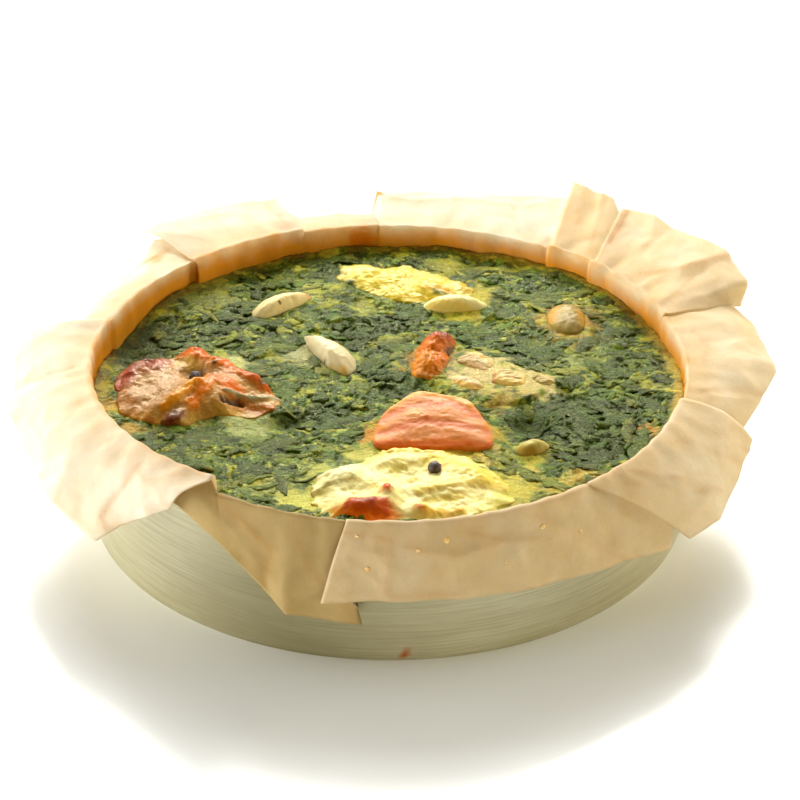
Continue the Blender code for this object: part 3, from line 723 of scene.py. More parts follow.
# Smooth dark leaves that lie over the rest: x, y, radius
BIG_LEAVES = (
    (66.0, -28.0, 24.0), (-12.0, 35.0, 11.0), (-20.0, -20.0, 9.0), (3.0, -3.0, 8.0), (-84.0, 22.0, 9.0),
    (82.0, -13.0, 8.0), (44.0, 22.0, 7.0), (-54.0, 44.0, 12.0), (2.0, 40.0, 8.0),
)
# Bits of leaf, large and small: length and width in millimetres, height of their steps, and of their slope
BITS = ((8.5, 3.8, 1.0, 1.2), (3.4, 1.8, 0.6, 0.5))
BIT_TINTS = np.array((DARK, DARK * 1.7, LEAF * 0.8, LEAF, LEAF * 1.4, SAGE, LIME, CUSTARD))
BIT_ODDS = np.array((0.16, 0.14, 0.15, 0.14, 0.11, 0.09, 0.12, 0.09))
DICE = 97  # the random values of the bits repeat after this many
RANDOM = rng.random((DICE, DICE, 6))


def filling_height(points):
    z = np.full(len(points), FILLING_TOP)
    for size, height in LEAF_RELIEF:
        z += height * np.array([noise.noise(Vector((p[0] / size, p[1] / size, size))) for p in points])
    for x, y, radius, rise in SWELLS:
        z += rise * np.exp(-((points[:, 0] - x) ** 2 + (points[:, 1] - y) ** 2) / radius**2)
    return z


def leaf_bits(points, size, seed):
    """Bits of leaf that bend round each other: for each point four random values of the bit it is in, how far
    it lies from the middle of the bit, and how near it is to the next one."""
    bend = fractal(points, 24.0, seed=seed + 7.0, octaves=2)
    sway = fractal(points, 15.0, seed=seed + 19.0, octaves=2)
    kink = fractal(points, 4.0, seed=seed + 29.0, octaves=2)
    bent_x = points[:, 0] + 9.0 * bend + 2.4 * kink
    bent_y = points[:, 1] + 8.0 * sway - 1.8 * kink
    bent = np.column_stack((bent_x, bent_y)) / size
    corner = np.floor(bent).astype(int)
    first = np.full(len(points), np.inf)
    second = first.copy()
    values = np.zeros((len(points), 4))
    middle = np.zeros((len(points), 2))
    for i in (-1, 0, 1):
        for j in (-1, 0, 1):
            cell = corner + (i, j)
            dice = RANDOM[(cell[:, 0] + int(seed)) % DICE, cell[:, 1] % DICE]
            away = bent - cell - dice[:, :2]
            distance = np.hypot(away[:, 0], away[:, 1])
            closer = distance < first
            second = np.where(closer, first, np.minimum(second, distance))
            first = np.where(closer, distance, first)
            values[closer] = dice[closer, 2:]
            middle[closer] = away[closer]
    return values, middle, second - first


def leaf_surface(points):
    """The relief and the colour of the leafy surface, large bits in some places and small ones in others."""
    smooth_leaf = np.zeros(len(points))
    for x, y, radius in BIG_LEAVES:
        away = np.hypot(points[:, 0] - x, points[:, 1] - y)
        smooth_leaf = np.maximum(smooth_leaf, 1.0 - smooth(0.6 * radius, radius, away))
    region = 0.5 + 0.5 * fractal(points, 22.0, seed=12.0, octaves=3)
    custard = smooth(0.42, 0.75, 0.5 + 0.5 * fractal(points, 9.0, seed=33.0, octaves=3))
    custard = custard * (1.0 - 0.8 * smooth_leaf)
    layers = []
    for index, (length, width, step, slope) in enumerate(BITS):
        values, middle, gap = leaf_bits(points, (length, width), 11.0 * index)
        lean = (values[:, 2:] - 0.5) * 2.0
        rise = step * (values[:, 0] - 0.5) + slope * 0.5 * (middle * lean).sum(axis=1)
        rise -= 0.55 * step * (1.0 - smooth(0.0, 0.25, gap))
        pick = np.clip(values[:, 1] + 0.35 * (region - 0.5) - 0.35 * smooth_leaf + 0.25 * custard, 0.0, 0.999)
        tint = BIT_TINTS[np.searchsorted(np.cumsum(BIT_ODDS), pick)]
        # painted light and shade: each bit is coloured lighter toward the end its tilt lifts and darker
        # toward the other
        tint = tint * (0.8 + 0.4 * (0.5 + middle[:, :1] * lean[:, :1]))
        # between the bits: custard where egg shows, elsewhere a dark tone that is painted shade in the gaps
        between = lerp(DARK * 0.8, CUSTARD, smooth(0.25, 0.7, custard)[:, None])
        tint = lerp(tint, between, (0.85 * (1.0 - smooth(0.04, 0.2, gap)))[:, None])
        layers.append((rise, tint))
    small = smooth(-0.15, 0.15, fractal(points, 10.0, seed=61.0, octaves=2) + 0.1 - 1.0 * smooth_leaf)
    rise = lerp(layers[0][0], layers[1][0] + 0.3, small)
    tint = lerp(layers[0][1], layers[1][1], small[:, None])
    wrinkles = fractal(points, (3.4, 1.7, 3.0), seed=4.0, octaves=3)
    rise = rise + 0.35 * wrinkles
    tint = lerp(tint, CUSTARD, (0.7 * custard * smooth(0.1, 0.5, wrinkles))[:, None])
    # painted light and shade: the colour is lighter on the wrinkles' ridges and darker in their furrows
    return rise, tint * (1.0 + 0.25 * wrinkles)[:, None]


def filling_colour(points, height, leaves):
    """The leaves, with more egg in some places, browned at the rim and darkened with painted shade in the
    hollows.
    """
    colour = leaves
    wobble = fractal(points, 4.0, seed=21.0, octaves=3)
    for x, y, radius, tint, strength in EGGY:
        away = np.hypot(points[:, 0] - x, points[:, 1] - y) + radius * 0.55 * wobble
        colour = lerp(colour, tint, (strength * (1.0 - smooth(radius * 0.3, radius, away)))[:, None])
    radius = np.hypot(points[:, 0], points[:, 1])
    angle = np.arctan2(points[:, 1], points[:, 0])
    rim = smooth(92.5, 96.5, radius + 1.8 * wobble)
    sunny = 0.5 + 0.5 * np.cos(angle - math.radians(320.0))
    crust = lerp(BROWN, BUTTER, (0.2 + 0.5 * sunny)[:, None])
    colour = lerp(colour, crust, (rim * (0.45 + 0.4 * sunny))[:, None])
    # painted shade: the colour darkens where the surface lies low in a hollow
    hollow_shade = smooth(40.8, 38.0, height)
    return lerp(colour, DARK * 0.5, (0.8 * hollow_shade)[:, None])


def disc_grid(count, radius):
    """A square grid squeezed to a disc, with its border first to last."""
    side = np.linspace(-1.0, 1.0, count)
    u, v = np.meshgrid(side, side, indexing="ij")
    x = u * np.sqrt(1.0 - v * v / 2.0) * radius
    y = v * np.sqrt(1.0 - u * u / 2.0) * radius
    return x, y


def make_filling():
    x, y = disc_grid(GRID, FILLING_EDGE)
    points = flat(x, y)
    relief, leaves = leaf_surface(points)
    z = ground(points) + relief * (1.0 - 0.7 * egg_share(points))
    radius = np.hypot(points[:, 0], points[:, 1])
    z += smooth(93.0, 97.5, radius) * 0.8
    z = sink_under_pieces(points, z)
    points[:, 2] = z
    colours = filling_colour(points, z, leaves)
    border = [i * GRID for i in range(GRID)] + [(GRID - 1) * GRID + j for j in range(1, GRID)]
    border += [i * GRID + GRID - 1 for i in range(GRID - 2, -1, -1)] + list(range(GRID - 2, 0, -1))
    low = points[border].copy()
    low[:, 2] = FILLING_FOOT
    faces = grid_faces(GRID, GRID)
    start = len(points)
    ring = list(range(start, start + len(border)))
    faces += [(a, b, d, c) for a, b, c, d in zip(border, border[1:] + border[:1], ring, ring[1:] + ring[:1])]
    middle = start + len(border)
    faces += [(middle, a, b) for a, b in zip(ring, ring[1:] + ring[:1])]
    every = np.vstack((points, low, [[0.0, 0.0, FILLING_FOOT]]))
    tints = np.vstack((colours, colours[border], [BROWN]))
    egg = egg_share(every)
    mat = wet_spinach("spinach_and_egg", SPINACH_DEPTH)
    obj = mesh_object("spinach_filling", every, faces, mat, tints, {"egg": egg})
    outward(obj)
    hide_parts("filling")
    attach(obj, "root")


def wet_spinach(name, depth):
    """Cooked spinach over each point's colour: darker strands, flecks of egg, and small wet glints."""
    made = Nodes(name, Specular_IOR_Level=0.42, Specular_Tint=WET_GREEN)
    strands = made.noise(2.4, detail=6.0, stretch=(0.55, 1.5, 1.0), roughness=0.68, distortion=1.2)
    fine = made.noise(0.8, detail=4.0, roughness=0.65)
    flecks = made.noise(2.6, detail=5.0, stretch=(0.7, 1.3, 1.0), roughness=0.7, distortion=1.5)
    egg = made.value("egg")
    dark = made.mix(1.0, made.tint(), (0.5, 0.56, 0.4), "MULTIPLY")
    light = made.mix(0.14, made.tint(), tuple(srgb(170, 186, 40)))
    colour = made.mix(made.ramp(strands, (0.42, 0.0), (0.56, 1.0)), dark, light)
    colour = made.mix(made.ramp(flecks, (0.62, 0.0), (0.70, 0.55)), colour, tuple(srgb(206, 206, 96)))
    colour = made.mix(1.0, colour, made.ramp(fine, (0.3, 0.66), (0.6, 1.0)), "MULTIPLY")
    soft = made.mix(1.0, made.tint(), made.ramp(strands, (0.4, (0.86, 0.84, 0.74)), (0.6, 1.0)), "MULTIPLY")
    colour = made.mix(made.ramp(egg, (0.25, 0.0), (0.8, 1.0)), colour, soft)
    made.feed("Base Color", made.node("ShaderNodeGamma", {"Color": colour, "Gamma": depth}).outputs[0])
    made.feed("Roughness", made.ramp(fine, (0.36, 0.6), (0.50, 0.34), (0.59, 0.05)))
    made.feed("Normal", made.bump(fine, 0.5, normal=made.bump(strands, 0.9)))
    return made.material


# Shreds and leaves of spinach, half sunk in the filling


LEAF_TINTS = (DARK * 1.4, LEAF, LEAF * 1.3, SAGE, LIME * 0.8, CUSTARD * 0.8, srgb(84, 100, 46))
LEAF_ODDS = (0.20, 0.24, 0.16, 0.14, 0.12, 0.06, 0.08)
SHREDS = 1300  # places tried for a shred
LEAVES = 150  # places tried for a larger leaf
DARK_LEAF = (66.0, -28.0)  # middle of the dark leaf region on the right


def ribbons(places, headings, lengths, widths, curls, rows, across, crest, lift, tints, seed):
    """Closed leaf shapes that lie on the filling: pointed at both ends, arched across, wavy along."""
    count = len(places)
    t = np.linspace(0.0, 1.0, rows)
    turn = headings[:, None] + curls[:, None] * (t - 0.5)
    step = lengths[:, None] / (rows - 1)
    dx, dy = np.cos(turn) * step, np.sin(turn) * step
    x = places[:, 0, None] + np.cumsum(dx, axis=1) - dx.sum(axis=1, keepdims=True) / 2
    y = places[:, 1, None] + np.cumsum(dy, axis=1) - dy.sum(axis=1, keepdims=True) / 2
    half = widths[:, None] / 2 * (0.08 + 0.92 * np.sin(np.pi * (0.04 + 0.92 * t)) ** 0.75)
    s = np.linspace(-1.0, 1.0, across)
    along_it = rng.normal(0.0, 0.28, (count, rows, 1))
    half = half[..., None] * s * (1.0 + along_it + rng.normal(0.0, 0.22, (count, rows, across)))
    px = x[..., None] - np.sin(turn)[..., None] * half
    py = y[..., None] + np.cos(turn)[..., None] * half
    out = np.hypot(px, py)
    inside = np.minimum(1.0, (FILLING_EDGE - 1.0) / np.maximum(out, 1e-6))
    px, py = px * inside, py * inside
    spots = flat(px, py)
    lie = ground(spots)
    if rows > 8:
        ripple = crest * 0.8 * fractal(spots, (7.0, 3.0, 5.0), seed=seed, octaves=2)
    else:
        ripple = crest * 0.5 * np.array([noise.noise(Vector((p[0] / 2.5, p[1] / 2.5, seed))) for p in spots])
    arch = crest * (1.0 - s**2)[None, None, :] + lift * np.sin(np.pi * t)[None, :, None]
    top = lie + ripple + np.broadcast_to(arch, px.shape).ravel()
    high = np.column_stack((spots[:, :2], top)).reshape(count, rows, across, 3)
    low = high.copy()
    low[..., 2] -= 0.35 + 0.9 * (1.0 - s**2)[None, None, :]
    low = low[:, :, ::-1]
    ring = np.concatenate((high, low[:, :, 1:-1]), axis=2)
    around = ring.shape[2]
    points = ring.reshape(-1, 3)
    body = grid_faces(rows, around, closed=True)
    caps = [tuple(range(around)), tuple((rows - 1) * around + i for i in reversed(range(around)))]
    faces = []
    for i in range(count):
        base = i * rows * around
        faces += [tuple(base + k for k in face) for face in body + caps]
    shading = 0.8 + 0.3 * rng.random((count, rows, around, 1))
    colours = (tints[:, None, None, :] * shading).reshape(-1, 3)
    return points, faces, colours


def leaf_tints(places):
    """A tone for each shred, darker or more golden as the filling is there."""
    picks = rng.choice(len(LEAF_TINTS), size=len(places), p=LEAF_ODDS)
    tints = np.array(LEAF_TINTS)[picks] * rng.uniform(0.8, 1.2, (len(places), 1))
    around = filling_colour(places, filling_height(places), leaf_surface(places)[1])
    return lerp(tints, around, rng.uniform(0.3, 1.0, (len(places), 1)))


def egg_share(places):
    """How far the egg shows at each place rather than leaves."""
    share = smooth(90.0, 95.0, np.hypot(places[:, 0], places[:, 1])) * 0.8
    for x, y, radius, _, strength in EGGY:
        away = np.hypot(places[:, 0] - x, places[:, 1] - y)
        share = np.maximum(share, strength * (1.0 - smooth(radius * 0.5, radius * 1.1, away)))
    return share


def scatter(count, keep_off, margin):
    """Random places on the filling that are clear of the pieces and of most of the egg."""
    radius = (FILLING_EDGE - margin) * np.sqrt(rng.random(count))
    angle = rng.random(count) * math.tau
    places = np.column_stack((radius * np.cos(angle), radius * np.sin(angle), np.zeros(count)))
    clear = rng.random(count) > egg_share(places)
    for piece in PIECES:
        clear &= piece.share(places[:, 0], places[:, 1]) > keep_off.get(piece.name, keep_off["other"])
    return places[clear]


def flow(places):
    """The way the shreds lie: across the tin, bending with the strokes, and round the big dark leaf."""
    heading = 0.1 + 1.1 * fractal(places, 30.0, seed=50.0, octaves=2)
    x, y = places[:, 0] - DARK_LEAF[0], places[:, 1] - DARK_LEAF[1]
    round_leaf = np.arctan2(y, x) + math.pi / 2
    near = 1.0 - smooth(16.0, 34.0, np.hypot(x, y))
    return np.where(near > 0.5, round_leaf, heading) + rng.normal(0.0, 0.6, len(places))

def make_shreds():
    places = scatter(SHREDS, {"cheese_front": 0.92, "egg_patch_back": 0.9, "other": 1.02}, 2.0)
    count = len(places)
    points, faces, colours = ribbons(
        places, flow(places), rng.gamma(2.4, 1.9, count) + 1.6, rng.gamma(2.2, 0.9, count) + 0.9,
        rng.normal(0.0, 1.1, count), 7, 5, 0.25, 0.2, leaf_tints(places), 60.0,
    )
    mat = wet_spinach("spinach_shred", SPINACH_DEPTH)
    shreds = mesh_object("spinach_shreds", points, faces, mat, colours)
    places = scatter(LEAVES, {"cheese_front": 1.1, "egg_patch_back": 1.08, "other": 1.15}, 8.0)
    count = len(places)
    tints = leaf_tints(places) * 0.85
    points, faces, colours = ribbons(
        places, flow(places), rng.uniform(9.0, 22.0, count), rng.uniform(3.5, 8.0, count),
        rng.normal(0.0, 0.8, count), 14, 8, 0.4, 0.1, tints, 80.0,
    )
    mat = wet_spinach("spinach_leaf", SPINACH_DEPTH)
    leaves = mesh_object("spinach_leaves", points, faces, mat, colours)
    for obj in (shreds, leaves):
        outward(obj)
        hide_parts("filling")
        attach(obj, "root")


# The pieces of food in the filling


CORNER_ROUNDING = (-8.0, -4.0, 0.0, 4.0, 8.0)  # turns whose reaches are averaged, which rounds a corner
COLLAR = 1.4  # where the rise of the filling round a piece begins, as a share of the way to its edge


class Piece:
    """A piece of food: the same outline and height as the part's, drawn with many more points."""

    def __init__(self, name, centre, size, turn, top, rise, base, **more):
        self.name = name
        self.centre = centre
        self.length, self.width = size
        self.turn = turn
        self.top = top
        self.rise = rise
        self.base = base  # height that its sides go down to
        self.tilt = more.get("tilt", (0.0, 0.0))
        self.squareness = more.get("squareness", 2.0)  # 2 is an ellipse
        self.taper = more.get("taper", 0.0)  # how much narrower the far end is, as a share
        self.bend = more.get("bend", 0.0)
        self.waver = more.get("waver", 0.06)
        self.corners = more.get("corners")  # x and y in its own axes
        self.lumps = more.get("lumps", ())  # x and y in its own axes, radius, rise
        self.rough = more.get("rough", (9.0, 0.6))  # size and height of coarse relief
        self.seed = more.get("seed", 0.0)
        self.slot = more["slot"]
        self.tint = more["tint"]
        self.strokes = more.get("strokes", ())  # line in the tin's axes, radius, colour, strength, rise
        self.fine = more.get("fine", ((2.5, 0.25),))  # size and height of fine relief
        self.ragged = more.get("ragged", 0.0)  # how far the edge strays, as a share
        self.fade = more.get("fade")  # colour that the edge fades to
        self.proud = more.get("proud", 0.5)  # how far its edge stands above the filling round it
        self.collar = more.get("collar", COLLAR)

    def reach(self, angle):
        c, s = math.cos(angle), math.sin(angle)
        for (x0, y0), (x1, y1) in zip(self.corners, self.corners[1:] + self.corners[:1]):
            slant = c * (y1 - y0) - s * (x1 - x0)
            if slant > 0.0 and 0.0 <= (x0 * s - y0 * c) / slant <= 1.0:
                return (x0 * (y1 - y0) - y0 * (x1 - x0)) / slant
        raise ValueError(self.name + " isn't all in sight of its middle")

    def edge(self, angle):
        """A point of the outline, in the piece's own axes."""
        c, s = math.cos(angle), math.sin(angle)
        waver = 1.0 + self.waver * noise.noise(Vector((2.2 * c, 2.2 * s, self.seed)))
        if self.corners:
            around = [self.reach(angle + math.radians(turn)) for turn in CORNER_ROUNDING]
            radius = sum(around) / len(around) * waver
            return radius * c, radius * s
        round_off = (abs(c) ** self.squareness + abs(s) ** self.squareness) ** (-1.0 / self.squareness)
        x = self.length / 2 * round_off * waver * c
        y = self.width / 2 * round_off * waver * s
        along = 2 * x / self.length
        return x, y * (1.0 - self.taper * (along + 1.0) / 2.0) + self.bend * (1.0 - along * along)

    def own(self, x, y):
        """The piece's own x, y from those of the tin."""
        turn = math.radians(self.turn)
        dx, dy = x - self.centre[0], y - self.centre[1]
        return dx * math.cos(turn) + dy * math.sin(turn), dy * math.cos(turn) - dx * math.sin(turn)

    def share(self, x, y):
        """How far places of the tin lie from the piece's middle, as a share of the way to its edge."""
        ox, oy = self.own(np.asarray(x, float), np.asarray(y, float))
        edge = [self.edge(math.radians(angle)) for angle in range(0, 360, 3)]
        turns = np.array([math.atan2(py, px) % math.tau for px, py in edge])
        reaches = np.array([math.hypot(*spot) for spot in edge])
        order = np.argsort(turns)
        limit = np.interp(np.arctan2(oy, ox) % math.tau, turns[order], reaches[order], period=math.tau)
        return np.hypot(ox, oy) / limit

    def height(self, x, y, share):
        z = self.top - self.rise * share**2.6 + self.tilt[0] * x + self.tilt[1] * y
        size, depth = self.rough
        level = self.seed + 3.0
        z += depth * np.array([noise.noise(Vector((a / size, b / size, level))) for a, b in zip(x, y)])
        for lump_x, lump_y, radius, rise in self.lumps:
            z += rise * np.exp(-((x - lump_x) ** 2 + (y - lump_y) ** 2) / radius**2)
        return z


# What the cloves of garlic share, and what the pale flakes share
CLOVE = {"rough": (9.0, 0.3), "proud": 0.3, "collar": 1.6, "slot": "garlic"}
FLAKE = {
    "waver": 0.1, "proud": 0.1, "collar": 3.0, "ragged": 0.18, "slot": "pale_fish",
    "fade": srgb(230, 206, 136),
}
FLAKE_GRAIN = (((8.0, 2.0, 4.0), 0.6), (1.8, 0.2))

PIECES = (
    Piece(
        "fish_chunk", (-65.0, -7.0), (54.0, 44.0), 0.0, 47.4, 4.0, 33.0,
        corners=((33.0, -10.0), (27.0, -1.0), (16.0, 9.0), (2.0, 20.0), (-9.0, 22.0), (-24.0, 12.0),
                 (-27.0, -2.0), (-26.0, -12.0), (-18.0, -19.0), (-6.0, -26.0), (6.0, -19.0), (24.0, -16.0)),
        waver=0.08, seed=1.0,
        lumps=((1.0, 17.0, 6.0, 3.4), (10.0, 11.0, 6.0, 3.0), (20.0, 4.0, 6.0, 2.6), (3.0, -7.0, 6.0, 4.0),
               (-5.0, -14.0, 5.0, 2.4), (9.0, -13.0, 5.0, 1.6), (1.0, 5.5, 4.5, -3.5),
               (-19.0, 11.0, 7.0, 2.0), (19.0, -10.0, 6.0, -2.5)),
        rough=(8.0, 1.4), fine=((6.0, 0.45), (2.0, 0.16)), ragged=0.1, slot="roasted_fish",
        tint=srgb(204, 152, 84), fade=srgb(206, 164, 64), proud=0.2, collar=1.3,
        strokes=(
            (((-90, -6), (-86, 3), (-78, 6)), 8.5, srgb(178, 80, 44), 0.95, 0.8),
            (((-88, -14), (-83, -22)), 5.0, srgb(206, 150, 100), 0.6, 0.4),
            (((-80, 5),), 2.6, srgb(92, 34, 20), 0.8, 0.6),
            (((-76, 1),), 1.8, srgb(140, 46, 20), 0.8, 0.4),
            (((-86, -1),), 2.4, srgb(176, 56, 30), 0.7, 0.5),
            (((-68, 12), (-56, 5), (-39, -7)), 5.5, srgb(236, 120, 16), 1.0, 1.5),
            (((-69, 13), (-64, 11)), 3.2, srgb(212, 96, 28), 0.8, 0.6),
            (((-47, -2), (-39, -7)), 4.0, srgb(214, 104, 34), 0.8, 0.3),
            (((-42, -7),), 1.5, srgb(54, 30, 26), 0.9, -0.3),
            (((-60, -8), (-66, -17), (-73, -24)), 2.6, srgb(238, 160, 16), 1.0, 1.0),
            (((-57, -8), (-61, -16), (-64, -22)), 3.6, srgb(234, 134, 14), 0.95, 0.6),
            (((-57, -7), (-50, -14)), 5.0, srgb(234, 122, 12), 1.0, 0.8),
            (((-50, -18), (-36, -20)), 3.6, srgb(196, 120, 24), 1.0, 0.4),
            (((-53, -15), (-42, -14), (-33, -12)), 1.5, srgb(176, 166, 124), 0.95, 0.9),
            # a dark dent: painted shade in the hollow
            (((-54, -19), (-49, -17)), 2.2, srgb(84, 46, 22), 0.95, -1.6),
            (((-71, -30), (-69, -28)), 4.6, srgb(112, 32, 16), 0.95, 1.8),
            (((-78, -27),), 3.0, srgb(196, 124, 60), 0.6, 0.6),
            # painted shade in the dimple round the peppercorn
            (((-64, -1.6),), 3.6, srgb(206, 140, 62), 0.8, -0.8),
            (((-58, 2),), 1.3, srgb(70, 30, 20), 0.9, -0.3),
            (((-79, -14),), 7.0, srgb(204, 156, 96), 0.8, 0.3),
            (((-70, 6), (-65, 3)), 3.5, srgb(236, 194, 96), 0.8, 0.0),
            (((-84, -26), (-80, -31)), 3.0, srgb(232, 184, 70), 0.7, 0.0),
        ),
    ),
    Piece(
        "salmon_flake", (14.5, -31.5), (38.0, 26.5), -2.0, 48.2, 1.6, 37.0, proud=1.0,
        corners=((19.0, -13.0), (19.0, -4.5), (11.5, 9.5), (-5.5, 13.5), (-17.0, 2.5), (-20.0, -13.0)),
        waver=0.03, seed=2.0, tilt=(0.0, 0.2), rough=(12.0, 0.8), slot="salmon",
        fine=(((16.0, 5.0, 7.0), 0.3), (2.0, 0.08)), tint=srgb(232, 154, 92), fade=srgb(240, 152, 50),
        strokes=(
            (((-2, -31), (6, -27), (20, -25), (30, -31)), 3.0, srgb(224, 128, 84), 0.8, -0.3),
            (((-2, -38), (12, -34), (31, -38)), 2.6, srgb(226, 132, 92), 0.75, -0.3),
            (((0, -25), (8, -19), (18, -18), (26, -24)), 3.0, srgb(244, 190, 112), 0.8, 0.4),
            (((-5, -43), (12, -43.5), (33, -43)), 2.6, srgb(230, 118, 44), 0.85, 0.2),
            (((8, -30),), 4.0, srgb(248, 196, 130), 0.6, 0.3),
            (((29, -40),), 5.0, srgb(236, 176, 130), 0.6, 0.0),
            (((12, -32),), 1.6, srgb(224, 110, 40), 0.7, 0.3),
        ),
    ),
    Piece(
        "cheese_front", (5.0, -66.5), (73.0, 43.0), 0.0, 45.4, 2.6, 36.0,
        corners=((37.0, -9.0), (35.0, 1.0), (29.0, 12.0), (22.0, 19.0), (8.0, 22.0), (-9.0, 21.5),
                 (-22.0, 11.5), (-32.0, 0.0), (-33.0, -12.0), (-25.0, -20.0), (-8.0, -24.5), (12.0, -24.0),
                 (28.0, -18.0)),
        waver=0.08, seed=3.0,
        lumps=((-14.5, -16.0, 5.0, 3.2), (-9.5, -15.0, 4.0, 1.6), (-5.6, -8.3, 3.5, 2.6),
               (4.7, -16.7, 3.0, 1.8), (15.0, 2.0, 8.0, 1.6), (-20.0, 3.0, 8.0, 1.4),
               (-4.0, 12.0, 6.0, 2.0), (8.0, 12.0, 6.0, 1.8), (2.0, 3.0, 6.0, -0.5)),
        rough=(9.0, 1.0), fine=((8.0, 0.6), (3.6, 0.16)), ragged=0.16, proud=0.2, slot="cheese",
        tint=srgb(252, 240, 170), fade=srgb(234, 224, 128),
        # near-white streaks on the raised folds are painted highlights, and deeper yellow streaks in the
        # dents painted shade
        strokes=(
            (((-8, -47), (5, -45), (24, -47)), 3.2, srgb(252, 216, 104), 0.8, 0.9),
            (((14, -56), (26, -60), (34, -66)), 6.0, srgb(240, 216, 96), 0.8, 0.5),
            (((-20, -62), (-12, -56)), 5.0, srgb(255, 246, 200), 0.7, 0.6),
            (((-2, -60), (16, -57)), 3.0, srgb(242, 222, 120), 0.5, -0.4),
            (((10, -73), (20, -69), (30, -66)), 3.4, srgb(252, 228, 112), 0.6, 0.9),
            (((12, -78), (22, -75)), 2.6, srgb(234, 208, 84), 0.6, -0.5),
            (((-26, -70), (-12, -64)), 3.6, srgb(255, 248, 196), 0.6, 0.9),
            (((-4, -70), (4, -60)), 3.0, srgb(244, 226, 130), 0.6, -0.3),
            (((5, -49),), 2.6, srgb(248, 196, 66), 0.8, 0.5),
            (((7.5, -66),), 2.8, srgb(248, 196, 66), 0.8, 0.5),
            (((-7.3, -82),), 9.0, srgb(244, 186, 70), 0.85, 0.0),
            (((-15, -86), (-2, -86)), 8.0, srgb(240, 138, 14), 1.0, 0.0),
            (((-11, -81.5), (-2, -82.5)), 4.6, srgb(202, 96, 22), 1.0, 0.4),
            (((-9.5, -81), (-5, -81)), 2.2, srgb(172, 64, 18), 0.9, 0.0),
            (((-0.6, -74.8),), 3.2, srgb(214, 92, 16), 0.95, 0.8),
            (((9.7, -83),), 2.8, srgb(206, 104, 30), 0.85, 0.5),
            (((4.4, -88.5),), 3.0, srgb(206, 104, 30), 0.85, 0.4),
            (((12, -84), (22, -82)), 2.6, srgb(250, 210, 90), 0.7, 0.8),
            (((30, -77), (36, -72)), 5.0, srgb(214, 208, 96), 0.7, -0.3),
            (((29, -58), (34, -57)), 1.4, srgb(120, 140, 50), 0.8, 0.2),
            (((-26, -78), (-14, -88)), 4.0, srgb(250, 214, 96), 0.6, 0.0),
        ),
    ),
    Piece(
        "egg_patch_back", (5.0, 68.0), (56.0, 38.0), 0.0, 44.6, 2.0, 37.0,
        corners=((29.0, -8.0), (26.0, -1.0), (9.0, 12.0), (3.0, 20.0), (-13.0, 15.0), (-24.0, 18.0),
                 (-26.0, 6.0), (-18.0, -4.0), (-5.0, -12.0), (5.0, -15.0), (22.0, -16.0)),
        waver=0.06, seed=4.0, lumps=((-14.0, 4.0, 8.0, 1.0), (8.0, -6.0, 7.0, 1.2)),
        rough=(8.0, 1.0), fine=((5.0, 0.5), (2.0, 0.15)), ragged=0.2, proud=0.2, slot="egg",
        tint=srgb(248, 230, 116), fade=srgb(212, 198, 60),
        strokes=(
            (((12, 64), (20, 60)), 5.0, srgb(246, 196, 72), 0.7, 0.3),
            (((28, 66), (33, 58)), 6.0, srgb(240, 206, 60), 0.85, 0.0),
            (((-4, 57), (16, 56)), 4.0, srgb(236, 208, 70), 0.7, 0.0),
            (((-14, 68),), 2.6, srgb(66, 92, 32), 0.9, 0.3),
            (((16, 59), (21, 58)), 1.8, srgb(120, 140, 60), 0.7, 0.1),
            (((-16, 78), (-6, 74)), 4.0, srgb(255, 248, 190), 0.6, 0.5),
            (((2, 62), (8, 72)), 3.0, srgb(236, 206, 70), 0.6, -0.3),
        ),
    ),
    Piece(
        "garlic_clove_left", (-37.0, 52.0), (25.0, 11.0), 38.0, 47.0, 4.2, 38.0,
        taper=0.35, bend=1.2, seed=5.0, tint=srgb(246, 228, 172), **CLOVE,
        strokes=(
            (((-29, 59), (-27, 61)), 3.2, srgb(196, 140, 96), 0.8, 0.0),
            (((-46, 46), (-40, 46)), 3.0, srgb(236, 220, 170), 0.7, 0.0),
            (((-37.8, 49),), 0.7, srgb(60, 40, 24), 0.9, 0.0),
        ),
    ),
    Piece(
        "garlic_clove_centre", (-20.5, 17.5), (29.0, 12.5), 121.0, 47.2, 4.4, 38.0,
        taper=0.3, bend=-1.5, seed=6.0, tint=srgb(230, 216, 176), **CLOVE,
        strokes=(
            (((-22, 8), (-15, 5)), 2.6, srgb(222, 184, 84), 0.7, 0.0),
            (((-24, 24), (-20, 16)), 2.6, srgb(240, 230, 198), 0.7, 0.0),
            (((-21.5, 12.0),), 0.7, srgb(60, 46, 30), 0.9, 0.0),
        ),
    ),
    Piece(
        "garlic_clove_right", (61.5, 40.5), (21.0, 14.0), 92.0, 46.6, 2.2, 39.0,
        taper=0.15, bend=0.6, seed=7.0, tint=srgb(170, 148, 76), **{**CLOVE, "collar": 1.9},
        strokes=(
            (((56, 38), (58, 48)), 3.0, srgb(224, 170, 60), 0.7, 0.0),
            (((67, 36), (66, 46)), 3.0, srgb(220, 170, 70), 0.6, 0.0),
            (((61, 40), (62, 46)), 3.2, srgb(190, 172, 104), 0.7, 0.0),
        ),
    ),
    Piece(
        "garlic_clove_back", (23.0, 51.0), (22.0, 10.0), 2.0, 47.2, 3.6, 39.0,
        taper=0.2, bend=0.8, seed=8.0, tint=srgb(250, 240, 180), **CLOVE,
        strokes=((((14, 49), (30, 47)), 2.4, srgb(238, 208, 100), 0.7, 0.0),),
    ),
    Piece(
        "garlic_clove_small", (46.0, -43.5), (12.0, 8.0), 25.0, 45.8, 2.8, 38.0,
        taper=0.3, seed=9.0, tint=srgb(206, 194, 112), **CLOVE,
        strokes=((((41, -47), (47, -47)), 2.2, srgb(190, 160, 70), 0.8, 0.0),),
    ),
    Piece(
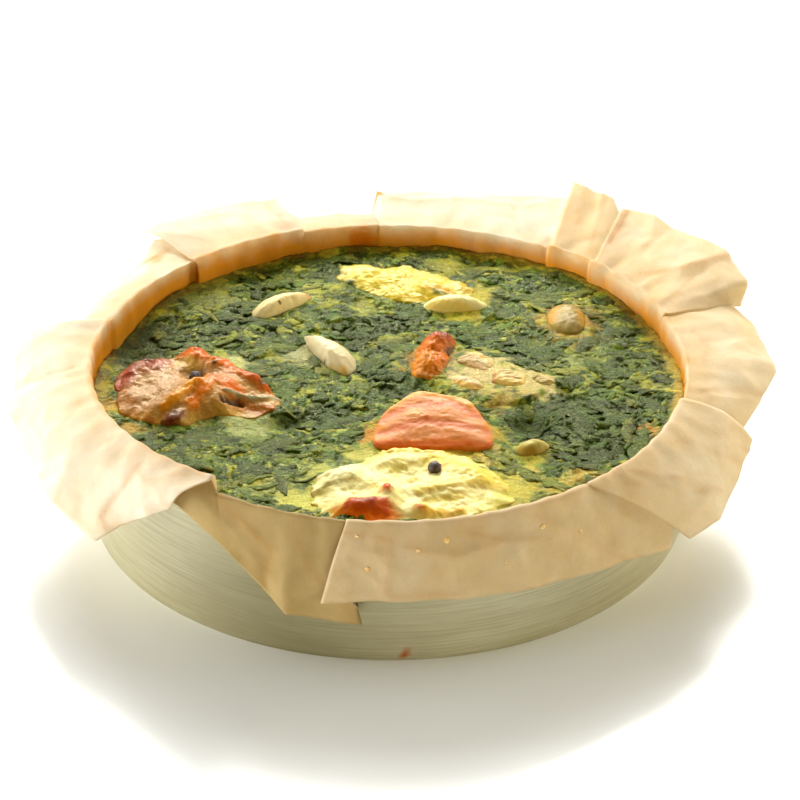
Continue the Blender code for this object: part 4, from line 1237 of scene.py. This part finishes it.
        "roasted_piece", (14.6, 12.8), (30.0, 12.5), 76.0, 47.6, 3.2, 38.0,
        squareness=2.6, waver=0.2, seed=10.0,
        lumps=((8.5, 0.0, 5.0, 2.6), (-7.0, 0.0, 5.0, 1.0), (1.0, 2.0, 3.0, -1.2)),
        rough=(6.0, 1.2), fine=((3.0, 0.7), (1.4, 0.3)), ragged=0.06, slot="roasted_crust",
        tint=srgb(232, 134, 20), fade=srgb(206, 140, 40),
        strokes=(
            (((13, 25), (18, 22)), 6.0, srgb(164, 58, 36), 0.95, 0.8),
            (((14, 22), (17, 20)), 2.6, srgb(204, 112, 80), 0.6, 0.0),
            (((20, 15), (22, 17)), 2.2, srgb(96, 26, 16), 0.9, -0.2),
            (((22, 25), (23, 20)), 2.0, srgb(222, 122, 30), 0.9, 0.3),
            (((13, 10), (10, 2)), 4.6, srgb(236, 154, 30), 0.95, 0.3),
            (((12, -3),), 3.6, srgb(214, 158, 50), 0.9, 0.0),
        ),
    ),
    Piece(
        "pale_flake_upper", (29.5, 9.5), (14.0, 10.5), -32.0, 46.4, 1.2, 38.0,
        squareness=3.0, seed=11.0, tint=srgb(234, 212, 164), fine=FLAKE_GRAIN, **FLAKE,
        strokes=(
            (((21, 17), (35, 8)), 1.8, srgb(232, 204, 120), 0.7, 0.0),
            (((24, 8), (33, 3)), 2.0, srgb(214, 168, 104), 0.6, 0.0),
        ),
    ),
    Piece(
        "pale_flake_lower", (26.0, -4.2), (13.0, 6.5), -36.0, 45.9, 1.2, 38.0,
        squareness=2.8, seed=12.0, tint=srgb(236, 216, 172), fine=FLAKE_GRAIN, **FLAKE,
        strokes=((((21, -4), (30, -9)), 1.6, srgb(226, 186, 90), 0.8, 0.0),),
    ),
    Piece(
        "pale_flake_middle", (39.8, -1.6), (12.5, 10.5), -12.0, 46.2, 1.2, 38.0,
        squareness=3.0, seed=13.0, tint=srgb(236, 212, 150), fine=FLAKE_GRAIN, **FLAKE,
        strokes=(
            (((34, 2), (34, -5)), 2.0, srgb(200, 140, 70), 0.7, -0.2),
            (((36, -6), (44, -5)), 2.4, srgb(232, 200, 110), 0.7, 0.0),
        ),
    ),
    Piece(
        "pale_flake_right", (51.5, -1.5), (8.5, 5.5), -10.0, 44.8, 1.0, 38.0,
        seed=14.0, tint=srgb(218, 200, 136), fine=(((8.0, 2.0, 4.0), 0.5), (1.8, 0.2)), **FLAKE,
        strokes=((((48, 1), (55, 0)), 1.6, srgb(210, 150, 110), 0.6, 0.0),),
    ),
)


def ground(points):
    """The filling's surface, drawn up to the edge of each piece that lies in it."""
    z = filling_height(points)
    for piece in PIECES:
        away = np.hypot(points[:, 0] - piece.centre[0], points[:, 1] - piece.centre[1])
        spots = np.flatnonzero(away < piece.length)
        share = piece.share(points[spots, 0], points[spots, 1])
        x, y = piece.own(points[spots, 0], points[spots, 1])
        edge = piece.height(x / np.maximum(share, 1.0), y / np.maximum(share, 1.0), np.ones(len(spots)))
        drawn = lerp(edge - piece.proud, z[spots], smooth(0.95, piece.collar, share))
        z[spots] = np.maximum(z[spots], drawn)
    return z


def sink_under_pieces(points, z):
    """The filling's surface, lowered where a piece lies in it."""
    for piece in PIECES:
        away = np.hypot(points[:, 0] - piece.centre[0], points[:, 1] - piece.centre[1])
        spots = np.flatnonzero(away < piece.length * 0.85)
        share = piece.share(points[spots, 0], points[spots, 1])
        edge = 1.0 - piece.ragged
        inside = share < edge
        spots, share = spots[inside], share[inside]
        x, y = piece.own(points[spots, 0], points[spots, 1])
        under = piece.height(x, y, share) - 0.3 - 3.5 * smooth(edge, edge - 0.2, share)
        z[spots] = np.minimum(z[spots], under)
    return z


STRAY = 3.5  # the border of a painted stroke strays in proportion to its radius, up to this radius
RING_SPACING = 0.62  # between the rings of points of a piece
SPOKE_SPACING = 0.8  # between the points along its edge


def make_piece(piece, mat):
    """Rings of points from the middle of a piece to its edge, painted and roughened, and its sides."""
    reach = max(piece.length, piece.width) / 2
    rings = max(14, round(reach / RING_SPACING))
    spokes = max(48, round(math.tau * reach / SPOKE_SPACING))
    shares = np.linspace(0.0, 1.0, rings + 1)[1:]
    edge = np.array([piece.edge(math.tau * i / spokes) for i in range(spokes)])
    if piece.ragged:
        around = np.array([fractal(np.array([[p[0], p[1], 0.0]]), 6.0, seed=piece.seed)[0] for p in edge])
        edge = edge * (1.0 - piece.ragged * (0.5 + 0.5 * around))[:, None]
    own = (edge[None, :, :] * shares[:, None, None]).reshape(-1, 2)
    share = np.repeat(shares, spokes)
    own = np.vstack(((0.0, 0.0), own))
    share = np.concatenate(((0.0,), share))
    z = piece.height(own[:, 0], own[:, 1], share)
    turn = math.radians(piece.turn)
    x = piece.centre[0] + own[:, 0] * math.cos(turn) - own[:, 1] * math.sin(turn)
    y = piece.centre[1] + own[:, 0] * math.sin(turn) + own[:, 1] * math.cos(turn)
    spots = flat(x, y)
    for i, (size, depth) in enumerate(piece.fine):
        z += depth * fractal(spots, np.array(size), seed=piece.seed + 10.0 * i)
    colours = np.tile(piece.tint, (len(spots), 1))
    patches = 0.5 + 0.5 * fractal(spots, 5.0, seed=piece.seed + 77.0)
    colours = colours * (0.9 + 0.14 * patches)[:, None]
    wobble = fractal(spots, 2.6, seed=piece.seed + 55.0)
    if piece.fade is not None:
        worn = smooth(0.72, 0.98, share + 0.16 * wobble)
        colours = lerp(colours, piece.fade, (0.8 * worn)[:, None])
    for line, radius, tint, strength, relief in piece.strokes:
        away = distance_to_line(spots, line) + 0.35 * min(radius, STRAY) * wobble
        weight = 1.0 - smooth(0.25 * radius, radius, away)
        colours = lerp(colours, tint, (strength * weight)[:, None])
        z += relief * weight
    points = np.column_stack((x, y, z))
    faces = [(0, 1 + i, 1 + (i + 1) % spokes) for i in range(spokes)]
    faces += grid_faces(rings, spokes, start=1, closed=True)
    outer = 1 + (rings - 1) * spokes
    levels = 4  # rings of points down the sides
    low = []
    for level in range(1, levels + 1):
        ring = points[outer:outer + spokes].copy()
        ring[:, 2] = lerp(ring[:, 2], piece.base, level / levels)
        low.append(ring)
    every = np.vstack([points] + low)
    # painted shade: the sides are coloured a fifth darker than the edge of the top
    tints = np.vstack([colours] + [colours[outer:outer + spokes] * 0.8] * levels)
    faces += grid_faces(levels + 1, spokes, start=outer, closed=True)
    foot = len(every)
    every = np.vstack((every, [[*piece.centre, piece.base]]))
    tints = np.vstack((tints, [piece.tint]))
    last = foot - spokes
    faces += [(foot, last + (i + 1) % spokes, last + i) for i in range(spokes)]
    obj = mesh_object(piece.name + "_visual", every, faces, mat, tints)
    outward(obj)
    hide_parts(piece.name)
    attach(obj, "root")


def make_pieces():
    wet = {"Specular_IOR_Level": 0.32, "Specular_Tint": OILY}
    dull = {**wet, "Specular_IOR_Level": 0.25, "Subsurface_Weight": 0.15, "Subsurface_Scale": 0.003}
    mats = {
        "roasted_fish": food_material("roasted_fish", 1.1, 0.16, 0.20, (0.16, 0.45), 1.15, **wet),
        "salmon": food_material("salmon_flesh", 1.6, 0.10, 0.12, (0.3, 0.55), 1.15, **dull),
        "cheese": food_material("baked_cheese", 2.4, 0.07, 0.22, (0.25, 0.5), 1.25, **dull),
        "egg": food_material("baked_egg", 2.0, 0.12, 0.25, (0.22, 0.45), 1.45, **wet),
        "garlic": food_material("garlic_flesh", 1.4, 0.07, 0.08, (0.32, 0.5), 1.3, **dull),
        "roasted_crust": food_material("roasted_crust", 0.9, 0.20, 0.30, (0.16, 0.4), 1.2, **wet),
        "pale_fish": food_material("pale_fish_flesh", 1.0, 0.10, 0.18, (0.25, 0.5), 1.35, **dull),
    }
    for piece in PIECES:
        make_piece(piece, mats[piece.slot])


# Peppercorns: the piece each lies on, its x and y


PEPPERCORN = 4.4  # diameter
PEPPERCORN_SUNK = 1.4  # how deep it sits in its piece
PEPPERCORNS = (("cheese_front", 14.4, -61.5), ("fish_chunk", -64.1, -1.6))


def make_peppercorns():
    made = Nodes("peppercorn_skin", Specular_IOR_Level=0.5)
    wrinkles = made.noise(0.9, detail=4.0, distortion=1.0)
    made.feed("Base Color", made.ramp(wrinkles, (0.35, srgb(24, 14, 14)), (0.65, srgb(96, 74, 66))))
    made.feed("Roughness", made.ramp(wrinkles, (0.3, 0.3), (0.7, 0.6)))
    made.feed("Normal", made.bump(wrinkles, 0.25))
    for host_name, x, y in PEPPERCORNS:
        host = next(piece for piece in PIECES if piece.name == host_name)
        own = host.own(x, y)
        share = math.hypot(2 * own[0] / host.length, 2 * own[1] / host.width)
        z = host.height(np.array([own[0]]), np.array([own[1]]), share)[0] + PEPPERCORN / 2 - PEPPERCORN_SUNK
        bm = bmesh.new()
        bmesh.ops.create_icosphere(bm, subdivisions=4, radius=PEPPERCORN / 2)
        for vert in bm.verts:
            ridges = abs(noise.fractal(vert.co * 0.55 + Vector((x, y, 0.0)), 0.8, 2.2, 3))
            vert.co *= 0.90 + 0.22 * ridges
            vert.co += Vector((x, y, z))
            vert.co *= MM
        obj = bmesh_object("peppercorn_" + host_name, bm, made.material)
        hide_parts(host_name)
        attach(obj, "root")


# Floor, light and camera. The places and sizes of the lights and of the camera are in metres


CAMERA_ELEVATION = 30.77
CAMERA_DISTANCE = 1.0083
CAMERA_TARGET_HEIGHT = 0.025
CAMERA_LENS = 135.2
CAMERA_SHIFT = (0.0139, 0.034)


def make_floor():
    made = Nodes("pale_floor", Specular_IOR_Level=0.5)
    clouds = made.noise(60.0, detail=2.0)
    made.feed("Base Color", made.ramp(clouds, (0.2, (0.845, 0.872, 0.872)), (0.8, (0.865, 0.892, 0.892))))
    made.feed("Roughness", made.ramp(clouds, (0.2, 0.16), (0.8, 0.2)))
    half = 3000.0
    corners = [(-half, -half, -0.05), (half, -half, -0.05), (half, half, -0.05), (-half, half, -0.05)]
    obj = mesh_object("studio_floor", corners, [(0, 1, 2, 3)], made.material)


def area_light(name, place, size, power, colour=(1.0, 1.0, 1.0)):
    data = bpy.data.lights.new(name, "AREA")
    data.shape = "RECTANGLE"
    data.size, data.size_y = size
    data.energy = power
    data.color = colour
    obj = bpy.data.objects.new(name, data)
    obj.location = place
    obj.rotation_euler = (Vector((0.0, 0.0, 0.03)) - Vector(place)).to_track_quat("-Z", "Y").to_euler()
    bpy.context.scene.collection.objects.link(obj)


WORLD_FRONT = (0.09, 0.07, 0.01)
WORLD_BACK = (0.52, 0.52, 0.52)


def make_world():
    """A soft white studio that is darker in front of the tin than behind it."""
    world = bpy.data.worlds.new("studio")
    world.use_nodes = True
    bpy.context.scene.world = world
    tree = world.node_tree
    direction = tree.nodes.new("ShaderNodeTexCoord").outputs["Generated"]
    parts = tree.nodes.new("ShaderNodeSeparateXYZ")
    tree.links.new(direction, parts.inputs[0])
    ramp = tree.nodes.new("ShaderNodeMapRange")
    tree.links.new(parts.outputs["Y"], ramp.inputs["Value"])
    for key, value in (("From Min", -0.6), ("From Max", 0.5), ("To Min", 0.0), ("To Max", 1.0)):
        ramp.inputs[key].default_value = value
    background = tree.nodes["Background"]
    colour = tree.nodes.new("ShaderNodeValToRGB")
    tree.links.new(ramp.outputs[0], colour.inputs["Fac"])
    colour.color_ramp.elements[0].color = (*WORLD_FRONT, 1.0)
    colour.color_ramp.elements[1].color = (*WORLD_BACK, 1.0)
    tree.links.new(colour.outputs["Color"], background.inputs["Color"])


def make_studio():
    make_floor()
    make_world()
    area_light("key", (-0.12, 1.35, 1.0), (1.4, 1.0), 40.0, (1.0, 0.985, 0.95))
    area_light("glint", (0.1, 1.5, 1.1), (0.28, 0.28), 8.0)
    area_light("left", (-1.25, 0.3, 0.16), (0.8, 0.25), 14.0)
    area_light("right", (1.15, 0.3, 0.32), (0.8, 0.3), 9.0, (1.0, 0.94, 0.78))
    area_light("front_left", (-1.25, -0.36, 0.16), (0.7, 0.26), 14.0, (1.0, 0.99, 0.97))
    area_light("top", (0.1, 0.25, 1.5), (1.2, 1.0), 1.5)
    area_light("card", (0.65, -1.5, 0.14), (1.4, 0.24), 11.0, (1.0, 0.89, 0.6))
    camera = bpy.data.cameras.new("camera")
    camera.lens = CAMERA_LENS
    camera.sensor_width = 36.0
    camera.shift_x, camera.shift_y = CAMERA_SHIFT
    camera.clip_end = 20.0
    obj = bpy.data.objects.new("camera", camera)
    tilt = math.radians(CAMERA_ELEVATION)
    obj.location = (
        0.0, -CAMERA_DISTANCE * math.cos(tilt), CAMERA_TARGET_HEIGHT + CAMERA_DISTANCE * math.sin(tilt)
    )
    obj.rotation_euler = (math.pi / 2 - tilt, 0.0, 0.0)
    bpy.context.scene.collection.objects.link(obj)
    bpy.context.scene.camera = obj
    bpy.context.scene.view_settings.view_transform = "Standard"


make_tin()
make_liner()
make_filling()
make_shreds()
make_pieces()
make_peppercorns()
make_studio()
